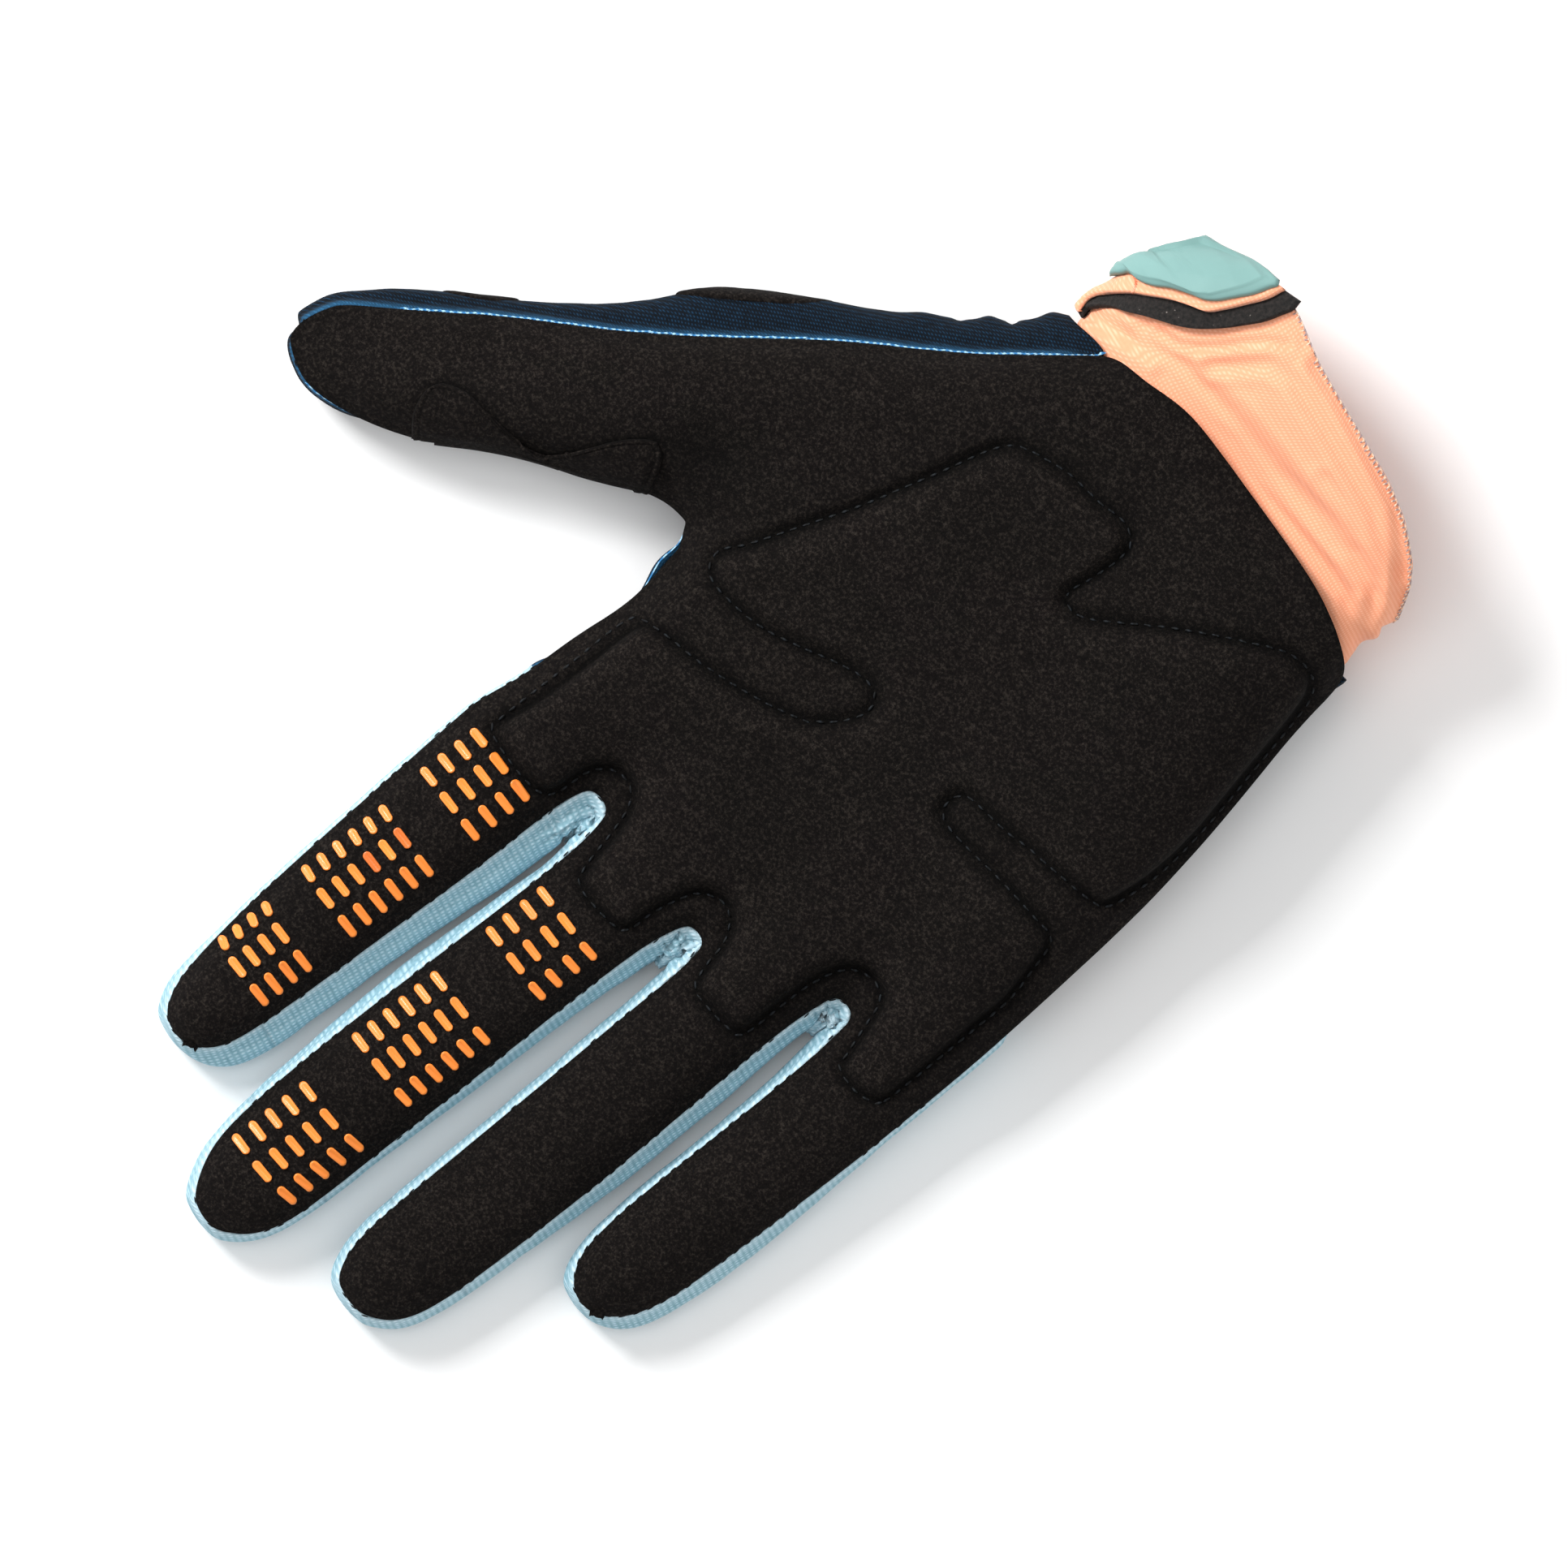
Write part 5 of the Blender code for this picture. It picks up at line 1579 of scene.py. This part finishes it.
@dataclass
class WavyPatch:
    """The suede patch with a wavy edge on the inner side of the thumb front."""

    thickness: float = 1.0 * MM
    rounding: float = 0.55 * MM
    long_side: float = 42 * MM
    short_side: float = 12 * MM

    # Four sides in millimetres: the thumb's edge, the wavy edge, the tip end, the root end
    RIM = ((88.6, 41.9), (84.0, 37.3), (80.2, 33.5), (75.2, 29.2), (70.2, 25.5), (65.2, 22.3),
           (60.2, 18.6), (55.4, 14.6))
    WAVE = ((93.9, 33.9), (92.8, 31.3), (88.8, 29.0), (83.8, 28.3), (77.5, 27.5), (72.5, 25.6),
            (70.0, 22.5), (68.1, 18.1), (66.3, 13.8), (63.8, 10.0), (61.6, 8.1))
    TIP = ((88.6, 41.9), (91.9, 39.0), (93.5, 35.9), (93.9, 33.9))
    ROOT = ((55.4, 14.6), (57.5, 10.6), (59.4, 8.6), (61.6, 8.1))

    def build(self, palm: PalmPanel) -> None:
        """Build the patch on the palm panel.

        Args:
            palm: the finished panel.
        """
        along, across = 96, 30
        sides = {}
        for key, line, count in (("rim", self.RIM, along), ("wave", self.WAVE, along),
                                 ("tip", self.TIP, across), ("root", self.ROOT, across)):
            route = route_of(line, 0.05 * MM)
            sides[key] = [route[round(index * (len(route) - 1) / count)]
                          for index in range(count + 1)]
        shape = bmesh.new()
        press = shape.verts.layers.float.new("press")
        bmesh.ops.create_grid(shape, x_segments=along, y_segments=across, size=0.5)
        for corner in shape.verts:
            u, v = corner.co.x + 0.5, corner.co.y + 0.5
            i, j = round(u * along), round(v * across)
            spot = sides["rim"][i].lerp(sides["wave"][i], v)
            spot += sides["tip"][j].lerp(sides["root"][j], u)
            low = sides["rim"][0].lerp(sides["rim"][-1], u)
            high = sides["wave"][0].lerp(sides["wave"][-1], u)
            spot -= low.lerp(high, v)
            reach = min(min(u, 1 - u) * self.long_side, (1 - v) * self.short_side)
            near = min(1.0, reach / self.rounding)
            height = self.thickness * (0.25 + 0.75 * math.sqrt(1 - (1 - near) ** 2))
            height -= 0.28 * MM * math.exp(-((reach - 1.25 * MM) / (0.3 * MM)) ** 2)
            # Painted shadow along the patch's edge, painted shade in its stitch groove and a
            # painted highlight on the ridge between them.
            corner[press] = (0.95 * math.exp(-(reach / (0.35 * MM)) ** 2)
                             + 0.75 * math.exp(-((reach - 1.25 * MM) / (0.3 * MM)) ** 2)
                             - 0.55 * math.exp(-((reach - 0.75 * MM) / (0.25 * MM)) ** 2))
            place, normal = palm.drop(spot.x, spot.y)
            normal = (normal + Vector((0, 0, 1))).normalized()
            corner.co = place + normal * height
            corner.co.z -= 1.1 * MM * max(0.0, 0.16 - v) / 0.16
        face_outwards(shape)
        add_piece("wavy_patch", to_mesh(shape, "wavy_patch"), Cloth.SUEDE,
                  ("thumb_patch",), 0.7 * MM)


@dataclass
class ThumbPads:
    """The two low suede pads on the thumb's back."""

    # Node, piece, and how far it is drawn in to the thumb and moved along it, millimetres
    PADS = (("thumb_base_pad", "base_pad", 1.9, 0.3),
            ("thumb_knuckle_pad", "knuckle_pad", 1.5, -1.2))

    def build(self) -> None:
        """Build both pads."""
        for node, name, inward, along in self.PADS:
            mesh = rounded(to_mesh(node_copy(node), node + "_cage"), 2)
            points, normals = read_points(mesh)
            points += normals * (0.08 * MM * fractal(points, 4 * MM, 6.0))[:, None]
            points[:, 0] += (-0.656 * inward + 0.754 * along) * MM
            points[:, 1] += (0.755 * inward + 0.657 * along) * MM
            write_points(mesh, points)
            add_piece(name, mesh, Cloth.SUEDE, (node,))


@dataclass
class SeamThreads:
    """Threads that show along the sewn edge: pale blue loops on the navy, dark on the blue."""

    loop_step: float = 0.62 * MM
    dash_step: float = 2.6 * MM
    outwards: float = 1.0

    def build(self, palm_mesh: bpy.types.Mesh, back: BackShell) -> None:
        """Sew both kinds of thread.

        Args:
            palm_mesh: the palm panel, whose border the seam follows.
            back: the finished back.
        """
        border = chain_of(palm_mesh, lambda place: place.y > 0.15)
        self.outwards = -1.0 if self.turned(border) else 1.0
        loops = bmesh.new()
        route = catmull(border[::4], self.loop_step, True)
        for index, place in enumerate(route):
            if place.x <= 0.0235 or not -0.066 < place.y < 0.052:
                continue
            side = float(thumb_side(np.array([place]))[0])
            crotch = 0.0425 < place.x < 0.046 and 0.012 < place.y < 0.030
            if (side < 6 * MM or place.x > 0.108) and not crotch:
                continue
            outward = 0.75 * MM + 0.25 * MM * noise.noise(place * 700)
            self.sew(loops, back, route, index, outward, 0.45, 1.25 * MM, 0.3 * MM)
        add_piece("seam_loops", to_mesh(loops, "seam_loops"), Cloth.PALE_THREAD)
        dashes = bmesh.new()
        route = catmull(border[::4], self.dash_step, True)
        for index, place in enumerate(route):
            if place.y < 0.042 or noise.noise(place * 260) < -0.05:
                continue
            self.sew(dashes, back, route, index, 0.40 * MM, 0.12, 1.3 * MM, 0.27 * MM)
        add_piece("seam_dashes", to_mesh(dashes, "seam_dashes"), Cloth.THREAD)

    def sew(self, shape: bmesh.types.BMesh, back: BackShell, route: list[Vector], index: int,
            outward: float, lean: float, length: float, width: float) -> None:
        """Add one thread beside the seam.

        Args:
            shape: the bmesh that collects the threads.
            back: the finished back.
            route: the seam.
            index: place on it.
            outward: distance from the seam.
            lean: slant towards the outside.
            length: the thread's length.
            width: the thread's thickness.
        """
        place = route[index]
        along = route[(index + 1) % len(route)] - route[index - 1]
        out = Vector((along.y, -along.x, 0)).normalized() * self.outwards
        spot, normal, _index, _gap = back.tree.find_nearest(place + out * outward)
        if normal.z < 0:
            normal = -normal
        add_stitch(shape, spot + normal * 0.08 * MM, along.normalized() + out * lean, normal,
                   length, width)

    @staticmethod
    def turned(route: list[Vector]) -> bool:
        """Tell whether a closed route runs clockwise seen from above."""
        area = sum(a.x * b.y - b.x * a.y for a, b in zip(route, route[1:] + route[:1]))
        return area < 0


@dataclass
class Studio:
    """White floor, soft light from the thumb's side and the camera straight above."""

    frame_side: float = 0.276
    distance: float = 4.0
    aim: tuple[float, float] = (0.00049, 0.02754)
    turn_degrees: float = -128.0
    glove_height: float = 0.014
    sensor: float = 36.0
    # Soft boxes: name, place and size in metres, and power in watts
    LAMPS = (("key", (1.10, 0.10, 0.85), 0.5, 21.0),
             ("fill", (-0.9, -0.5, 1.2), 1.6, 4.0),
             ("over", (0.4, 0.3, 2.1), 1.2, 10.0))

    def build(self) -> None:
        """Set up the floor, the lights and the camera."""
        shape = bmesh.new()
        bmesh.ops.create_grid(shape, x_segments=4, y_segments=4, size=3.0)
        floor = bpy.data.objects.new("floor", to_mesh(shape, "floor"))
        floor.data.transform(Matrix.Translation((0, 0, -0.0001)))
        floor.data.materials.append(finish(Cloth.FLOOR))
        bpy.context.scene.collection.objects.link(floor)
        bpy.context.scene.view_settings.view_transform = "Standard"
        for name, place, size, power in self.LAMPS:
            light = bpy.data.lights.new(name, "AREA")
            light.energy = power
            light.size = size
            lamp = bpy.data.objects.new(name, light)
            lamp.location = place
            lamp.rotation_euler = (Vector((0, 0.03, 0)) - Vector(place)).to_track_quat(
                "-Z", "Y").to_euler()
            bpy.context.scene.collection.objects.link(lamp)
        world = bpy.context.scene.world or bpy.data.worlds.new("studio")
        bpy.context.scene.world = world
        world.use_nodes = True
        sky = world.node_tree.nodes["Background"]
        sky.inputs["Color"].default_value = (1, 1, 1, 1)
        sky.inputs["Strength"].default_value = 0.50
        camera = bpy.data.cameras.new("camera")
        camera.sensor_fit = "HORIZONTAL"
        camera.sensor_width = self.sensor
        camera.lens = self.sensor * (self.distance - self.glove_height) / self.frame_side
        camera.clip_end = 10.0
        eye = bpy.data.objects.new("camera", camera)
        eye.location = (*self.aim, self.distance)
        eye.rotation_euler = (0, 0, math.radians(self.turn_degrees))
        bpy.context.scene.collection.objects.link(eye)
        bpy.context.scene.camera = eye


def main() -> None:
    """Build the glove and its studio."""
    logging.basicConfig(level=logging.INFO, format="%(name)s %(message)s")
    Studio().build()
    palm = PalmPanel()
    palm.build()
    GripBars().build(palm)
    WavyPatch().build(palm)
    back = BackShell()
    back.build()
    SeamThreads().build(palm.mesh, back)
    ThumbPads().build()
    cuff = CuffTube()
    cuff.build()
    Closure().build(cuff)


if __name__ == "__main__":
    main()
